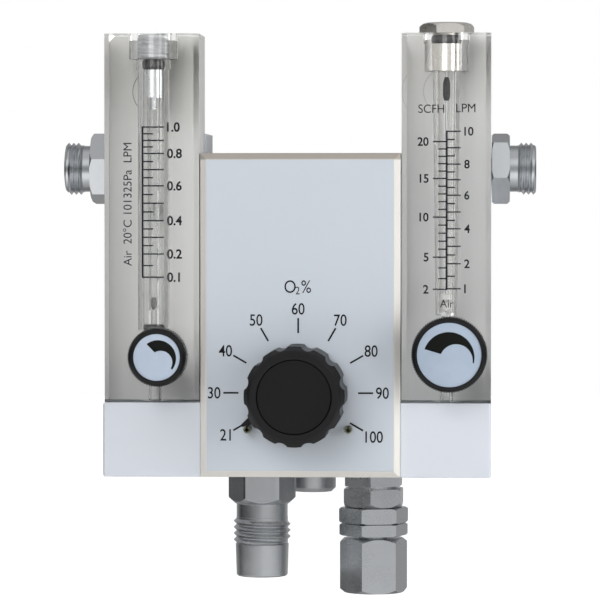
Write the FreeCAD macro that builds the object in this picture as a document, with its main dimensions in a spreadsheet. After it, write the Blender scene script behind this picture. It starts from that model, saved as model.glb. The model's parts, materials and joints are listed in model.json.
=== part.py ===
import FreeCAD, Part
import os
import re
import Sketcher

# Air and oxygen blender with two flowmeters, millimetres, +Z up, front towards -Y
# The origin is the middle of the rear face of the mounting slide
os.makedirs("parts", exist_ok=True)
doc = FreeCAD.newDocument("blender")
sheet = doc.addObject("Spreadsheet::Sheet", "cells")

# Driving dimensions
SIZES = {
    "case_width": 57.0,
    "case_height": 92.2,
    "case_depth": 90.0,
    "case_wall": 2.0,
    "case_bevel": 1.7,
    "cover_thick": 2.5,
    "label_thick": 0.3,
    "label_margin": 0.2,
    "slide_thick": 6.0,
    "slide_wide": 32.0,
    "slide_narrow": 26.0,
    "slide_height": 46.0,
    "slide_screw_gap": 28.0,
    "slide_screw_radius": 2.0,
    "slide_screw_head": 3.9,
    "slide_screw_length": 18.0,
    "cover_screw_radius": 1.5,
    "cover_screw_head": 2.8,
    "cover_screw_head_height": 1.8,
    "cover_screw_length": 9.0,
    "cover_screw_inset_x": 4.4,
    "cover_screw_inset_z": 4.6,
    "post_radius": 3.4,
    "post_length": 14.0,
    "block_gap": 0.2,
    "block_front_gap": 4.0,
    "block_reach": 68.1,
    "dial_x": -0.5,
    "dial_rise": 24.1,
    "spindle_radius": 3.0,
    "spindle_nose_radius": 2.0,
    "spindle_nose_length": 8.0,
    "spindle_shoulder": 11.0,
    "running_gap": 0.05,
    "fit_gap": 0.02,
    "side_gap": 0.2,
    "cap_edge": 0.3,
    "seat_edge": 0.4,
    "thread_edge": 0.5,
    "round_edge": 0.6,
    "gland_edge": 0.7,
    "valve_bore_radius": 6.5,
    "valve_bore_depth": 28.0,
    "bushing_body": 8.0,
    "bushing_neck_radius": 5.0,
    "bushing_neck_out": 3.0,
    "bushing_nut_across": 13.0,
    "bushing_nut_thick": 2.2,
    "seal_section": 0.6,
    "seat_thick": 2.0,
    "seat_bore_radius": 3.2,
    "poppet_shank_radius": 2.9,
    "poppet_head_radius": 5.6,
    "poppet_cone": 2.2,
    "poppet_rim": 1.0,
    "poppet_tail": 1.4,
    "poppet_travel": 1.6,
    "poppet_shortfall": 1.4,
    "shuttle_radius": 5.0,
    "shuttle_length": 22.0,
    "shuttle_rise": 50.1,
    "shuttle_depth": 34.0,
    "shuttle_plug_length": 6.0,
    "knob_radius": 14.1,
    "knob_disc_radius": 13.0,
    "knob_length": 22.0,
    "knob_gap": 1.5,
    "knob_edge": 0.5,
    "knob_shoulder": 2.4,
    "knob_hollow_radius": 8.2,
    "knob_hollow_depth": 4.0,
    "knob_lobes": 12,
    "knob_flute_radius": 2.4,
    "knob_flute_depth": 0.85,
    "knob_cap_radius": 10.5,
    "knob_cap_thick": 1.6,
    "knob_cap_sunk": 0.4,
    "knob_grip_depth": 15.0,
    "knob_screw_radius": 1.5,
    "knob_screw_length": 7.0,
    "pointer_reach": 18.3,
    "pointer_tip_half": 0.35,
    "pointer_root_half": 2.1,
    "pointer_thick": 2.2,
    "pin_radius": 1.0,
    "pin_hollow": 0.55,
    "pin_slot": 0.35,
    "pin_out": 4.4,
    "pin_orbit": 17.6,
    "pin_past_end": 5.6,
    "dial_sweep": 240.0,
    "dial_start": 210.0,
    "inlet_depth": 45.0,
    "air_x": -13.6,
    "air_turn": -3.0,
    "air_hex_across": 17.4,
    "air_hex_length": 9.1,
    "air_chamfer": 1.9,
    "air_neck_radius": 7.6,
    "air_neck_length": 4.0,
    "air_thread_radius": 8.5,
    "air_thread_length": 8.0,
    "air_nose_radius": 7.9,
    "air_nose_end": 7.6,
    "air_nose_length": 9.5,
    "air_bore_radius": 4.4,
    "air_bore_length": 12.0,
    "inlet_passage": 2.4,
    "inlet_shank_radius": 5.4,
    "inlet_shank_length": 12.0,
    "oxygen_x": 19.5,
    "oxygen_turn": 33.5,
    "oxygen_nut_turn": -12.0,
    "oxygen_base_across": 16.2,
    "oxygen_base_length": 5.6,
    "oxygen_notch_radius": 7.4,
    "oxygen_notch_length": 0.8,
    "oxygen_hex_across": 16.8,
    "oxygen_hex_length": 5.4,
    "oxygen_spigot_radius": 6.0,
    "adapter_cut": 1.2,
    "adapter_slope": 1.4,
    "oxygen_ring_gap": 0.25,
    "oxygen_ring_across": 18.0,
    "oxygen_ring_length": 4.5,
    "oxygen_lock_across": 17.8,
    "oxygen_lock_length": 3.5,
    "swivel_gap": 0.6,
    "swivel_across": 17.5,
    "swivel_length": 16.0,
    "swivel_wall": 2.2,
    "swivel_bore_radius": 7.1,
    "nipple_stem_radius": 4.3,
    "nipple_stem_length": 8.0,
    "nipple_collar_radius": 6.6,
    "nipple_collar_length": 2.4,
    "nipple_nose_radius": 4.0,
    "nipple_nose_length": 7.5,
    "nipple_bore_radius": 2.0,
    "nipple_shoulder": 1.2,
    "nipple_slope": 1.5,
    "swivel_clear": 0.15,
    "swivel_cut": 1.3,
    "swivel_slope": 1.1,
    "filter_radius": 4.6,
    "filter_thick": 2.4,
    "duckbill_radius": 4.6,
    "duckbill_length": 6.0,
    "muffler_x": 1.0,
    "muffler_depth": 56.0,
    "muffler_radius": 6.85,
    "muffler_length": 8.2,
    "muffler_edge": 1.2,
    "muffler_shank_radius": 3.8,
    "muffler_shank_length": 9.0,
    "reed_radius": 3.6,
    "reed_length": 6.0,
    "meter_setback": 1.5,
    "meter_depth": 22.0,
    "meter_height": 105.0,
    "manifold_foot": 21.2,
    "meter_chamfer": 1.5,
    "left_meter_gap": 0.4,
    "left_meter_width": 27.1,
    "right_meter_gap": 0.2,
    "right_meter_width": 25.4,
    "left_manifold_width": 27.9,
    "right_manifold_width": 25.7,
    "upright_depth": 24.0,
    "upright_drop": 12.0,
    "manifold_edge": 0.5,
    "tube_depth": 11.0,
    "supply_depth": 16.5,
    "supply_radius": 1.85,
    "riser_radius": 1.3,
    "tube_radius": 4.55,
    "tube_top_drop": 2.0,
    "tube_rise": 22.1,
    "tube_foot_length": 4.0,
    "tube_seat_radius": 0.8,
    "tube_bore_low": 1.4,
    "tube_bore_high": 1.9,
    "tube_seal_section": 0.9,
    "adapter_rise": 6.0,
    "adapter_drop": 5.4,
    "adapter_tip_radius": 1.6,
    "left_plug_radius": 7.05,
    "left_plug_socket": 6.0,
    "left_plug_socket_depth": 4.0,
    "left_ring_section": 1.5,
    "left_ring_radius": 3.45,
    "left_float_radius": 1.25,
    "left_float_height": 3.5,
    "left_float_clear": 0.15,
    "right_bore_low": 3.1,
    "right_bore_high": 3.95,
    "right_bore_rise": 24.7,
    "right_plug_radius": 6.3,
    "right_plug_rise": 5.5,
    "right_plug_across": 13.7,
    "right_plug_head": 3.3,
    "right_plug_turn": 9.0,
    "plug_slope": 1.2,
    "plug_cut": 0.9,
    "plug_round": 0.35,
    "plug_crown": 1.9,
    "right_ring_section": 1.3,
    "right_ring_radius": 5.3,
    "right_ring_drop": 1.6,
    "rod_radius": 0.55,
    "rod_foot_radius": 2.8,
    "rod_foot_thick": 0.8,
    "float_stop_radius": 1.57,
    "float_stop_drop": 2.9,
    "float_stop_length": 6.7,
    "stop_foot": 1.2,
    "stop_shoulder": 1.6,
    "right_float_head": 2.35,
    "right_float_head_height": 1.8,
    "right_float_waist": 1.3,
    "right_float_height": 5.0,
    "right_float_hole": 0.75,
    "right_float_clear": 0.3,
    "port_rise": 88.9,
    "port_radius": 2.6,
    "elbow_radius": 6.8,
    "elbow_reach": 14.0,
    "elbow_stub_radius": 5.0,
    "elbow_stub_sunk": 6.0,
    "elbow_stub_depth": 8.0,
    "outlet_drop": 10.0,
    "outlet_turn": -15.0,
    "outlet_hex_across": 18.5,
    "outlet_hex_length": 5.2,
    "outlet_neck_radius": 6.75,
    "outlet_neck_length": 2.45,
    "outlet_thread_radius": 7.65,
    "outlet_thread_length": 5.2,
    "outlet_seat_radius": 4.2,
    "outlet_seat_length": 6.0,
    "outlet_passage": 2.5,
    "outlet_base_cut": 0.9,
    "outlet_cut": 1.1,
    "outlet_slope": 0.8,
    "outlet_shank_radius": 5.0,
    "outlet_shank_length": 7.0,
    "left_standoff": 1.4,
    "right_standoff": 0.2,
    "meter_screw_radius": 2.0,
    "meter_screw_head": 3.5,
    "meter_screw_head_height": 4.0,
    "meter_screw_grip": 4.5,
    "low_screw_rise": 12.9,
    "high_screw_rise": 54.9,
    "meter_screw_socket": 3.0,
    "bridge_rise": 10.1,
    "bridge_radius": 3.0,
    "bridge_bore": 1.6,
    "bridge_sunk": 6.0,
    "gland_ring_radius": 3.0,
    "gland_ring_section": 0.6,
    "left_valve_offset": 2.5,
    "left_valve_rise": 13.3,
    "left_knob_radius": 8.4,
    "left_knob_length": 9.0,
    "left_cap_radius": 6.6,
    "right_valve_offset": 1.0,
    "right_valve_rise": 14.2,
    "right_knob_radius": 10.75,
    "right_knob_length": 10.0,
    "right_cap_radius": 9.05,
    "cap_thick": 1.2,
    "cap_dome": 0.7,
    "cap_pocket": 1.6,
    "small_knob_gap": 2.6,
    "small_knob_edge": 0.7,
    "cartridge_radius": 3.95,
    "cartridge_length": 9.0,
    "cartridge_flange_radius": 5.2,
    "cartridge_flange_thick": 1.5,
    "valve_chamber_depth": 13.0,
    "valve_seat_radius": 0.9,
    "stem_radius": 1.6,
    "stem_grip": 5.5,
    "stem_cone": 2.0,
    "stem_seal_section": 0.5,
    "stem_seal_depth": 6.5,
    "stem_rise": 2.5,
}
for row, (alias, value) in enumerate(SIZES.items(), start=1):
    sheet.set(f"A{row}", alias)
    sheet.set(f"B{row}", str(value))
    sheet.setAlias(f"B{row}", alias)
doc.recompute()

TURNS = {
    "+Z": FreeCAD.Rotation(),
    "-Z": FreeCAD.Rotation(FreeCAD.Vector(1, 0, 0), 180),
    "-Y": FreeCAD.Rotation(FreeCAD.Vector(1, 0, 0), 90),
    "+Y": FreeCAD.Rotation(FreeCAD.Vector(1, 0, 0), -90),
    "+X": FreeCAD.Rotation(FreeCAD.Vector(0, 1, 0), 90),
    "-X": FreeCAD.Rotation(FreeCAD.Vector(0, 1, 0), -90),
}
pieces = []
probe = doc.addObject("App::FeaturePython", "probe")
probe.addProperty("App::PropertyFloat", "Reading")


# Heights and planes that several pieces share, worked out from the cells
PLACES = {
    "case_base": "-case_height / 2",
    "case_front": "-slide_thick - case_depth",
    "cover_inner": "-slide_thick - cover_thick",
    "label_front": "case_front - label_thick",
    "knob_back": "label_front - knob_gap",
    "block_front": "case_front + case_wall + block_front_gap",
    "block_top": "case_base + block_reach",
    "dial_z": "case_base + dial_rise",
    "shuttle_z": "case_base + shuttle_rise",
    "bridge_z": "case_base + bridge_rise",
    "inlet_y": "case_front + inlet_depth",
    "muffler_y": "case_front + muffler_depth",
    "meter_front": "case_front + meter_setback",
    "meter_back": "meter_front + meter_depth",
    "meter_base": "case_base + manifold_foot",
    "meter_top": "meter_base + meter_height",
    "tube_y": "meter_front + tube_depth",
    "supply_y": "meter_front + supply_depth",
    "upright_mid": "meter_back + upright_depth / 2",
    "left_x": "-case_width / 2 - left_meter_gap - left_meter_width / 2",
    "right_x": "case_width / 2 + right_meter_gap + right_meter_width / 2",
    "left_side": "-case_width / 2 - left_manifold_width",
    "right_side": "case_width / 2 + right_manifold_width",
    "left_valve_z": "meter_base + left_valve_rise",
    "right_valve_z": "meter_base + right_valve_rise",
    "port_height": "meter_base + port_rise",
    "tube_bottom": "meter_base + tube_rise",
    "tube_seat": "tube_bottom + tube_foot_length",
    "tube_top": "port_height - tube_top_drop",
    "adapter_top": "port_height + adapter_rise",
    "adapter_tip": "port_height - adapter_drop",
    "left_plug_base": "adapter_top + 2 * left_ring_section",
    "right_bore_floor": "meter_base + right_bore_rise",
    "right_plug_base": "port_height + right_plug_rise",
    "right_ring_height": "meter_top - right_ring_drop",
    "float_stop_low": "port_height - float_stop_drop",
    "float_stop_high": "float_stop_low + float_stop_length",
    "upright_top": "port_height - upright_drop",
    "outlet_height": "upright_top - outlet_drop",
    "meter_screw_low": "meter_base + low_screw_rise",
    "meter_screw_high": "meter_base + high_screw_rise",
}


def cell_or_place(found):
    name = found.group(0)
    return f"({bound(PLACES[name])})" if name in PLACES else "cells." + name


def bound(words):
    # every alias and place holds an underscore, and nothing else in an expression does
    return re.sub(r"[a-z]+(?:_[a-z]+)+", cell_or_place, str(words))


def reading(words):
    probe.setExpression("Reading", bound(words))
    probe.recompute()
    return probe.Reading


def put(thing, at, along="+Z", turn=0):
    thing.Placement = FreeCAD.Placement(
        FreeCAD.Vector(), TURNS[along].multiply(FreeCAD.Rotation(FreeCAD.Vector(0, 0, 1), turn)))
    for letter, words in zip("xyz", at):
        thing.setExpression("Placement.Base." + letter, bound(words))
    return thing


def solid(kind, name, sizes, at, along="+Z", turn=0):
    thing = doc.addObject("Part::" + kind, name)
    for prop, words in sizes.items():
        thing.setExpression(prop, bound(words))
    return put(thing, at, along, turn)


def brick(name, wide, deep, tall, at):
    return solid("Box", name, {"Length": wide, "Width": deep, "Height": tall}, at)


def rod(name, radius, length, at, along="+Z"):
    return solid("Cylinder", name, {"Radius": radius, "Height": length}, at, along)


def cone(name, low, high, length, at, along="+Z"):
    return solid("Cone", name, {"Radius1": low, "Radius2": high, "Height": length}, at, along)


def ring(name, radius, section, at, along="+Z"):
    return solid("Torus", name, {"Radius1": radius, "Radius2": section}, at, along)


def hexagon(name, across, length, at, along="+Z", turn=0):
    thing = solid("Prism", name, {"Circumradius": f"({across}) / sqrt(3)", "Height": length}, at, along, turn)
    thing.Polygon = 6
    return thing


def cut(name, base, *tools):
    thing = doc.addObject("Part::Cut", name)
    thing.Base = base
    if len(tools) == 1:
        thing.Tool = tools[0]
    else:
        thing.Tool = doc.addObject("Part::MultiFuse", name + "_tools")
        thing.Tool.Shapes = list(tools)
    return thing


def joined(name, *parts):
    thing = doc.addObject("Part::MultiFuse", name)
    thing.Shapes = list(parts)
    return thing


def group(name, *parts):
    thing = doc.addObject("Part::Compound", name)
    thing.Links = list(parts)
    return thing


def sketch_on(body, role, name):
    sketch = body.newObject("Sketcher::SketchObject", name)
    plane = [face for face in body.Origin.OriginFeatures if face.Role == role][0]
    sketch.AttachmentSupport = [(plane, "")]
    sketch.MapMode = "FlatFace"
    return sketch


def hold(sketch, kind, geometry, point, words):
    number = sketch.addConstraint(Sketcher.Constraint(kind, geometry, point, reading(words)))
    sketch.setExpression(f"Constraints[{number}]", bound(words))


def outline(sketch, corners):
    places = [FreeCAD.Vector(reading(across), reading(up), 0) for across, up in corners]
    first = sketch.GeometryCount
    count = len(corners)
    for number in range(count):
        sketch.addGeometry(Part.LineSegment(places[number], places[(number + 1) % count]), False)
    for number in range(count):
        following = first + (number + 1) % count
        sketch.addConstraint(Sketcher.Constraint("Coincident", first + number, 2, following, 1))
    for number, (across, up) in enumerate(corners):
        hold(sketch, "DistanceX", first + number, 1, across)
        hold(sketch, "DistanceY", first + number, 1, up)


def circle(sketch, across, up, radius):
    centre = FreeCAD.Vector(reading(across), reading(up), 0)
    number = sketch.addGeometry(Part.Circle(centre, FreeCAD.Vector(0, 0, 1), reading(radius)), False)
    hold(sketch, "DistanceX", number, 3, across)
    hold(sketch, "DistanceY", number, 3, up)
    radius_hold = sketch.addConstraint(Sketcher.Constraint("Radius", number, reading(radius)))
    sketch.setExpression(f"Constraints[{radius_hold}]", bound(radius))


def turned(name, profile, at, along="+Z", turn=0):
    # profile: radius and distance along the axis of each corner of half the section
    body = doc.addObject("PartDesign::Body", name)
    sketch = sketch_on(body, "XZ_Plane", name + "_section")
    outline(sketch, profile)
    spun = body.newObject("PartDesign::Revolution", name + "_turned")
    spun.Profile = sketch
    spun.ReferenceAxis = (sketch, ["V_Axis"])
    spun.Angle = 360
    return put(body, at, along, turn)


def hexagon_corners(across, turn="0"):
    return [(f"({across}) / sqrt(3) * cos(60 * {corner} + {turn})",
             f"({across}) / sqrt(3) * sin(60 * {corner} + {turn})") for corner in range(6)]


def pocketed(body, name, role, draw, length, offset="0", reverse=False):
    before = body.Shape.Volume
    sketch = sketch_on(body, role, name + "_sketch")
    sketch.setExpression("AttachmentOffset.Base.z", bound(offset))
    draw(sketch)
    pocket = body.newObject("PartDesign::Pocket", name)
    pocket.Profile = sketch
    pocket.Reversed = reverse
    pocket.setExpression("Length", bound(length))
    doc.recompute()
    if not body.Shape.Volume < before:
        raise ValueError(name + " cuts nothing")
    return pocket


def flats(body, name, across, blank, start, length, turn="0"):
    # six flats milled on a turned bar of the radius blank
    def draw(sketch):
        circle(sketch, "0", "0", f"({blank}) + 3")
        outline(sketch, hexagon_corners(across, turn))
    doc.recompute()
    return pocketed(body, name, "XY_Plane", draw, length, start, reverse=True)


def piece(label, thing):
    thing.Label = label
    pieces.append(thing)
    return thing


# Case tray, bevelled round its front and open at the back
case_blank = doc.addObject("PartDesign::Body", "case_blank")
case_outline = sketch_on(case_blank, "XZ_Plane", "case_outline")
outline(case_outline, [(f"{across} * case_width / 2", f"{up} * case_height / 2")
                       for across, up in ((-1, -1), (1, -1), (1, 1), (-1, 1))])
case_pad = case_blank.newObject("PartDesign::Pad", "case_pad")
case_pad.Profile = case_outline
case_pad.setExpression("Length", bound("case_depth - cover_thick"))
doc.recompute()


def face_towards(feature, direction):
    reach = [face.CenterOfMass.dot(direction) for face in feature.Shape.Faces]
    return f"Face{reach.index(max(reach)) + 1}"


def bevelled(body, feature, direction, words):
    bevel = body.newObject("PartDesign::Chamfer", body.Name + "_bevel")
    bevel.Base = (feature, [face_towards(feature, FreeCAD.Vector(*direction))])
    bevel.setExpression("Size", bound(words))
    return bevel


bevelled(case_blank, case_pad, (0, -1, 0), "case_bevel")
put(case_blank, ("0", "cover_inner", "0"))
case_cavity = brick("case_cavity", "case_width - 2 * case_wall", "case_depth - case_wall",
                    "case_height - 2 * case_wall",
                    ("case_wall - case_width / 2", "case_front + case_wall", "case_base + case_wall"))
post_x = "(case_width / 2 - cover_screw_inset_x)"
post_z = "(case_height / 2 - cover_screw_inset_z)"
case_posts = [rod(f"case_post_{side}", "post_radius", "post_length",
                  (f"{side} * {post_x}", "cover_inner", post_z), "-Y") for side in (-1, 1)]
pin_angles = ["(dial_start + pin_past_end)", "(dial_start - dial_sweep - pin_past_end)"]
pin_places = [(f"dial_x + pin_orbit * cos({angle})", f"dial_z + pin_orbit * sin({angle})")
              for angle in pin_angles]
case_holes = [rod("neck_hole", "bushing_neck_radius + running_gap", "2 * case_wall",
                  ("dial_x", "case_front - case_wall / 2", "dial_z"), "+Y"),
              rod("air_hole", "inlet_shank_radius + fit_gap", "2 * case_wall",
                  ("air_x", "inlet_y", "case_base - case_wall / 2")),
              rod("oxygen_hole", "inlet_shank_radius + fit_gap", "2 * case_wall",
                  ("oxygen_x", "inlet_y", "case_base - case_wall / 2")),
              rod("muffler_hole", "muffler_shank_radius + fit_gap", "2 * case_wall",
                  ("muffler_x", "muffler_y", "case_base - case_wall / 2")),
              rod("bridge_holes", "bridge_radius + fit_gap", "case_width + 2 * case_wall",
                  ("-case_width / 2 - case_wall", "supply_y", "bridge_z"), "+X")]
case_holes += [rod(f"pin_hole_{number}", "pin_radius + fit_gap", "2 * case_wall",
                   (across, "case_front - case_wall / 2", up), "+Y")
               for number, (across, up) in enumerate(pin_places)]
case_holes += [rod(f"post_thread_{side}", "cover_screw_radius", "cover_screw_length",
                   (f"{side} * {post_x}", "cover_inner", post_z), "-Y") for side in (-1, 1)]
case_tray = joined("case_tray", cut("case_walls", case_blank, case_cavity), *case_posts)
piece("case_shell", cut("case_drilled", case_tray, *case_holes))

# Printed face label
label_sheet = brick("label_sheet", "case_width - 2 * case_bevel - 2 * label_margin", "label_thick",
                    "case_height - 2 * case_bevel - 2 * label_margin",
                    ("case_bevel + label_margin - case_width / 2", "label_front",
                     "case_bevel + label_margin - case_height / 2"))
label_holes = [rod("label_neck_hole", "bushing_neck_radius + side_gap", "3 * label_thick",
                   ("dial_x", "label_front - label_thick", "dial_z"), "+Y")]
label_holes += [rod(f"label_pin_hole_{number}", "pin_radius + running_gap", "3 * label_thick",
                    (across, "label_front - label_thick", up), "+Y")
                for number, (across, up) in enumerate(pin_places)]
piece("face_label", cut("label_cut", label_sheet, *label_holes))

# Rear cover with its four screws
cover_plate = brick("cover_plate", "case_width", "cover_thick", "case_height",
                    ("-case_width / 2", "cover_inner", "case_base"))
screw_places = [(f"{side} * {post_x}", f"{level} * {post_z}") for side in (-1, 1) for level in (-1, 1)]
slide_places = ["slide_screw_gap / 2", "-slide_screw_gap / 2"]
cover_holes = [rod(f"cover_hole_{number}", "cover_screw_radius + running_gap", "2 * cover_thick",
                   (across, "cover_inner - cover_thick / 2", up), "+Y")
               for number, (across, up) in enumerate(screw_places)]
cover_holes += [rod(f"cover_slide_hole_{number}", "slide_screw_radius + running_gap", "2 * cover_thick",
                    ("0", "cover_inner - cover_thick / 2", up), "+Y")
                for number, up in enumerate(slide_places)]
piece("rear_cover", cut("cover_drilled", cover_plate, *cover_holes))


def pan_screw(name, radius, length, head, head_height, at, along):
    profile = [("0", "0"), (radius, "0"), (radius, length), (head, length),
               (head, f"{length} + {head_height} * 0.55"), (f"{head} * 0.72", f"{length} + {head_height}"),
               ("0", f"{length} + {head_height}")]
    return turned(name, profile, at, along)


cover_screws = [pan_screw(f"cover_screw_{number}", "cover_screw_radius", "cover_screw_length - side_gap",
                          "cover_screw_head", "cover_screw_head_height",
                          (across, "-slide_thick - cover_screw_length + side_gap", up), "+Y")
                for number, (across, up) in enumerate(screw_places)]
piece("cover_screws", group("cover_screw_set", *cover_screws))

# Dovetail slide that hangs the blender on a wall or pole bracket
slide_blank = doc.addObject("PartDesign::Body", "slide_blank")
slide_section = sketch_on(slide_blank, "XY_Plane", "slide_section")
outline(slide_section, [("-slide_narrow / 2", "-slide_thick"), ("slide_narrow / 2", "-slide_thick"),
                        ("slide_wide / 2", "0"), ("-slide_wide / 2", "0")])
slide_pad = slide_blank.newObject("PartDesign::Pad", "slide_pad")
slide_pad.Profile = slide_section
slide_pad.setExpression("Length", bound("slide_height"))
put(slide_blank, ("0", "0", "-slide_height / 2"))
head_drop = "(slide_screw_head - slide_screw_radius)"
slide_tools = []
for number, up in enumerate(slide_places):
    slide_tools.append(rod(f"slide_hole_{number}", "slide_screw_radius + running_gap", "2 * slide_thick",
                           ("0", "-1.5 * slide_thick", up), "+Y"))
    slide_tools.append(cone(f"slide_sink_{number}", "slide_screw_head + running_gap",
                            "slide_screw_radius + running_gap", head_drop, ("0", "0", up), "-Y"))
piece("mounting_slide", cut("slide_drilled", slide_blank, *slide_tools))
slide_screws = [turned(f"slide_screw_{number}",
                       [("0", "0"), ("slide_screw_radius", "0"),
                        ("slide_screw_radius", f"slide_screw_length - {head_drop}"),
                        ("slide_screw_head", "slide_screw_length"), ("0", "slide_screw_length")],
                       ("0", "-slide_screw_length", up), "+Y")
                for number, up in enumerate(slide_places)]
slide_sockets = [hexagon(f"slide_socket_{number}", "slide_screw_radius * 1.25", "slide_screw_radius * 2",
                         ("0", "-slide_screw_radius", up), "+Y") for number, up in enumerate(slide_places)]
piece("slide_screws", group("slide_screw_set", *[cut(f"slide_screw_cut_{number}", screw, socket) for
                                                 number, (screw, socket) in
                                                 enumerate(zip(slide_screws, slide_sockets))]))

# Gas block that carries the valve, the inlets and the alarm
block_half = "(case_width / 2 - case_wall - block_gap)"
block_floor = "(case_base + case_wall)"
gas_blank = brick("gas_blank", f"2 * {block_half}", "cover_inner - block_front",
                  f"block_top - {block_floor}", (f"-{block_half}", "block_front", block_floor))
shuttle_y = "(case_front + shuttle_depth)"
filter_base = "(case_base + inlet_shank_length)"
gas_tools = [rod("valve_bore", "valve_bore_radius", "valve_bore_depth",
                 ("dial_x", "block_front", "dial_z"), "+Y"),
             rod("shuttle_bore", "shuttle_radius", f"2 * {block_half}",
                 (f"-{block_half}", shuttle_y, "shuttle_z"), "+X"),
             rod("reed_bore", "muffler_shank_radius + fit_gap",
                 "muffler_shank_length + reed_length", ("muffler_x", "muffler_y", "case_base")),
             rod("bridge_left_bore", "bridge_bore", f"{block_half} + dial_x",
                 (f"-{block_half}", "supply_y", "bridge_z"), "+X"),
             rod("bridge_right_bore", "bridge_bore", f"{block_half} - dial_x",
                 ("dial_x", "supply_y", "bridge_z"), "+X"),
             rod("mixed_riser", "bridge_bore", "dial_z - bridge_z", ("dial_x", "supply_y", "bridge_z"))]
for side in (-1, 1):
    gas_tools.append(rod(f"bridge_seat_{side}", "bridge_radius + fit_gap", "bridge_sunk",
                         (f"{side} * {block_half}", "supply_y", "bridge_z"), "-X" if side > 0 else "+X"))
    gas_tools.append(rod(f"cover_thread_{side}", "cover_screw_radius", "cover_screw_length",
                         (f"{side} * {post_x}", "cover_inner", f"-{post_z}"), "-Y"))
for name, across in (("air", "air_x"), ("oxygen", "oxygen_x")):
    gas_tools.append(rod(name + "_thread", "inlet_shank_radius + fit_gap", "inlet_shank_length",
                         (across, "inlet_y", "case_base")))
    gas_tools.append(rod(name + "_pocket", "duckbill_radius + fit_gap",
                         "filter_thick + duckbill_length + side_gap", (across, "inlet_y", filter_base)))
    gas_tools.append(rod(name + "_riser", "riser_radius", f"shuttle_z - {filter_base}",
                         (across, "inlet_y", filter_base)))
for number, up in enumerate(slide_places):
    gas_tools.append(rod(f"slide_thread_{number}", "slide_screw_radius", "slide_screw_length",
                         ("0", "cover_inner", up), "-Y"))
piece("gas_block", cut("gas_drilled", gas_blank, *gas_tools))

# Proportioning valve: bushing, nut, spindle, seats and the poppet between them
neck_end = "(bushing_body + block_front_gap + case_wall + label_thick + bushing_neck_out)"
groove_low = "(bushing_body / 2)"
groove_high = "(bushing_body / 2 + 3 * seal_section)"
groove_radius = "(spindle_radius + 2 * seal_section + 2 * running_gap)"
spindle_bore = "(spindle_radius + running_gap)"
piece("valve_bushing", turned(
    "bushing_body_turned",
    [(spindle_bore, "0"), ("valve_bore_radius - fit_gap", "0"),
     ("valve_bore_radius - fit_gap", "bushing_body"),
     ("bushing_neck_radius", "bushing_body"), ("bushing_neck_radius", neck_end), (spindle_bore, neck_end),
     (spindle_bore, groove_high), (groove_radius, groove_high), (groove_radius, groove_low),
     (spindle_bore, groove_low)],
    ("dial_x", "block_front + bushing_body", "dial_z"), "-Y"))
nut_blank = hexagon("nut_blank", "bushing_nut_across", "bushing_nut_thick",
                    ("dial_x", "label_front", "dial_z"), "-Y")
nut_hole = rod("nut_hole", "bushing_neck_radius + fit_gap", "3 * bushing_nut_thick",
               ("dial_x", "label_front + bushing_nut_thick", "dial_z"), "-Y")
piece("bushing_nut", cut("nut_cut", nut_blank, nut_hole))
piece("spindle_seal", ring("spindle_ring", "spindle_radius + seal_section + running_gap", "seal_section",
                           ("dial_x", f"block_front + bushing_body - ({groove_low} + {groove_high}) / 2",
                            "dial_z"), "-Y"))
spindle_front = "(spindle_shoulder + label_thick + knob_gap + knob_grip_depth)"
piece("control_spindle", turned(
    "spindle_turned",
    [("0", "0"), ("spindle_nose_radius", "0"), ("spindle_nose_radius", "spindle_nose_length"),
     ("spindle_radius", "spindle_nose_length"), ("spindle_radius", f"spindle_nose_length + {spindle_front}"),
     ("0", f"spindle_nose_length + {spindle_front}")],
    ("dial_x", "case_front + spindle_shoulder + spindle_nose_length", "dial_z"), "-Y"))
poppet_y = "(case_front + spindle_shoulder + 2.5 * side_gap)"
shank_length = "(spindle_nose_length - poppet_shortfall)"
oxygen_seat_y = f"({poppet_y} + {shank_length} - running_gap - seat_thick)"
head_end = f"({shank_length} + poppet_cone + poppet_rim)"
nose_bore = "(spindle_nose_radius + running_gap)"
piece("mixing_poppet", turned(
    "poppet_turned",
    [(nose_bore, "0"), ("poppet_shank_radius", "0"), ("poppet_shank_radius", shank_length),
     ("poppet_head_radius", f"{shank_length} + poppet_cone"), ("poppet_head_radius", head_end),
     ("poppet_tail", f"{head_end} + poppet_cone"), ("0", f"{head_end} + poppet_cone"),
     ("0", "spindle_nose_length - side_gap"), (nose_bore, "spindle_nose_length - side_gap")],
    ("dial_x", poppet_y, "dial_z"), "+Y"))
seat_contact = ("(poppet_cone * (poppet_head_radius - seat_bore_radius)"
                " / (poppet_head_radius - poppet_tail))")
air_seat_y = f"({poppet_y} + {head_end} + {seat_contact} + poppet_travel + 2 * running_gap)"
seats = []
for name, place in (("oxygen_seat", oxygen_seat_y), ("air_seat", air_seat_y)):
    seat_blank = rod(name + "_blank", "valve_bore_radius - fit_gap", "seat_thick",
                     ("dial_x", place, "dial_z"), "+Y")
    seat_hole = rod(name + "_hole", "seat_bore_radius", "3 * seat_thick",
                    ("dial_x", f"{place} - seat_thick", "dial_z"), "+Y")
    seats.append(cut(name, seat_blank, seat_hole))
piece("valve_seats", group("seat_set", *seats))

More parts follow.
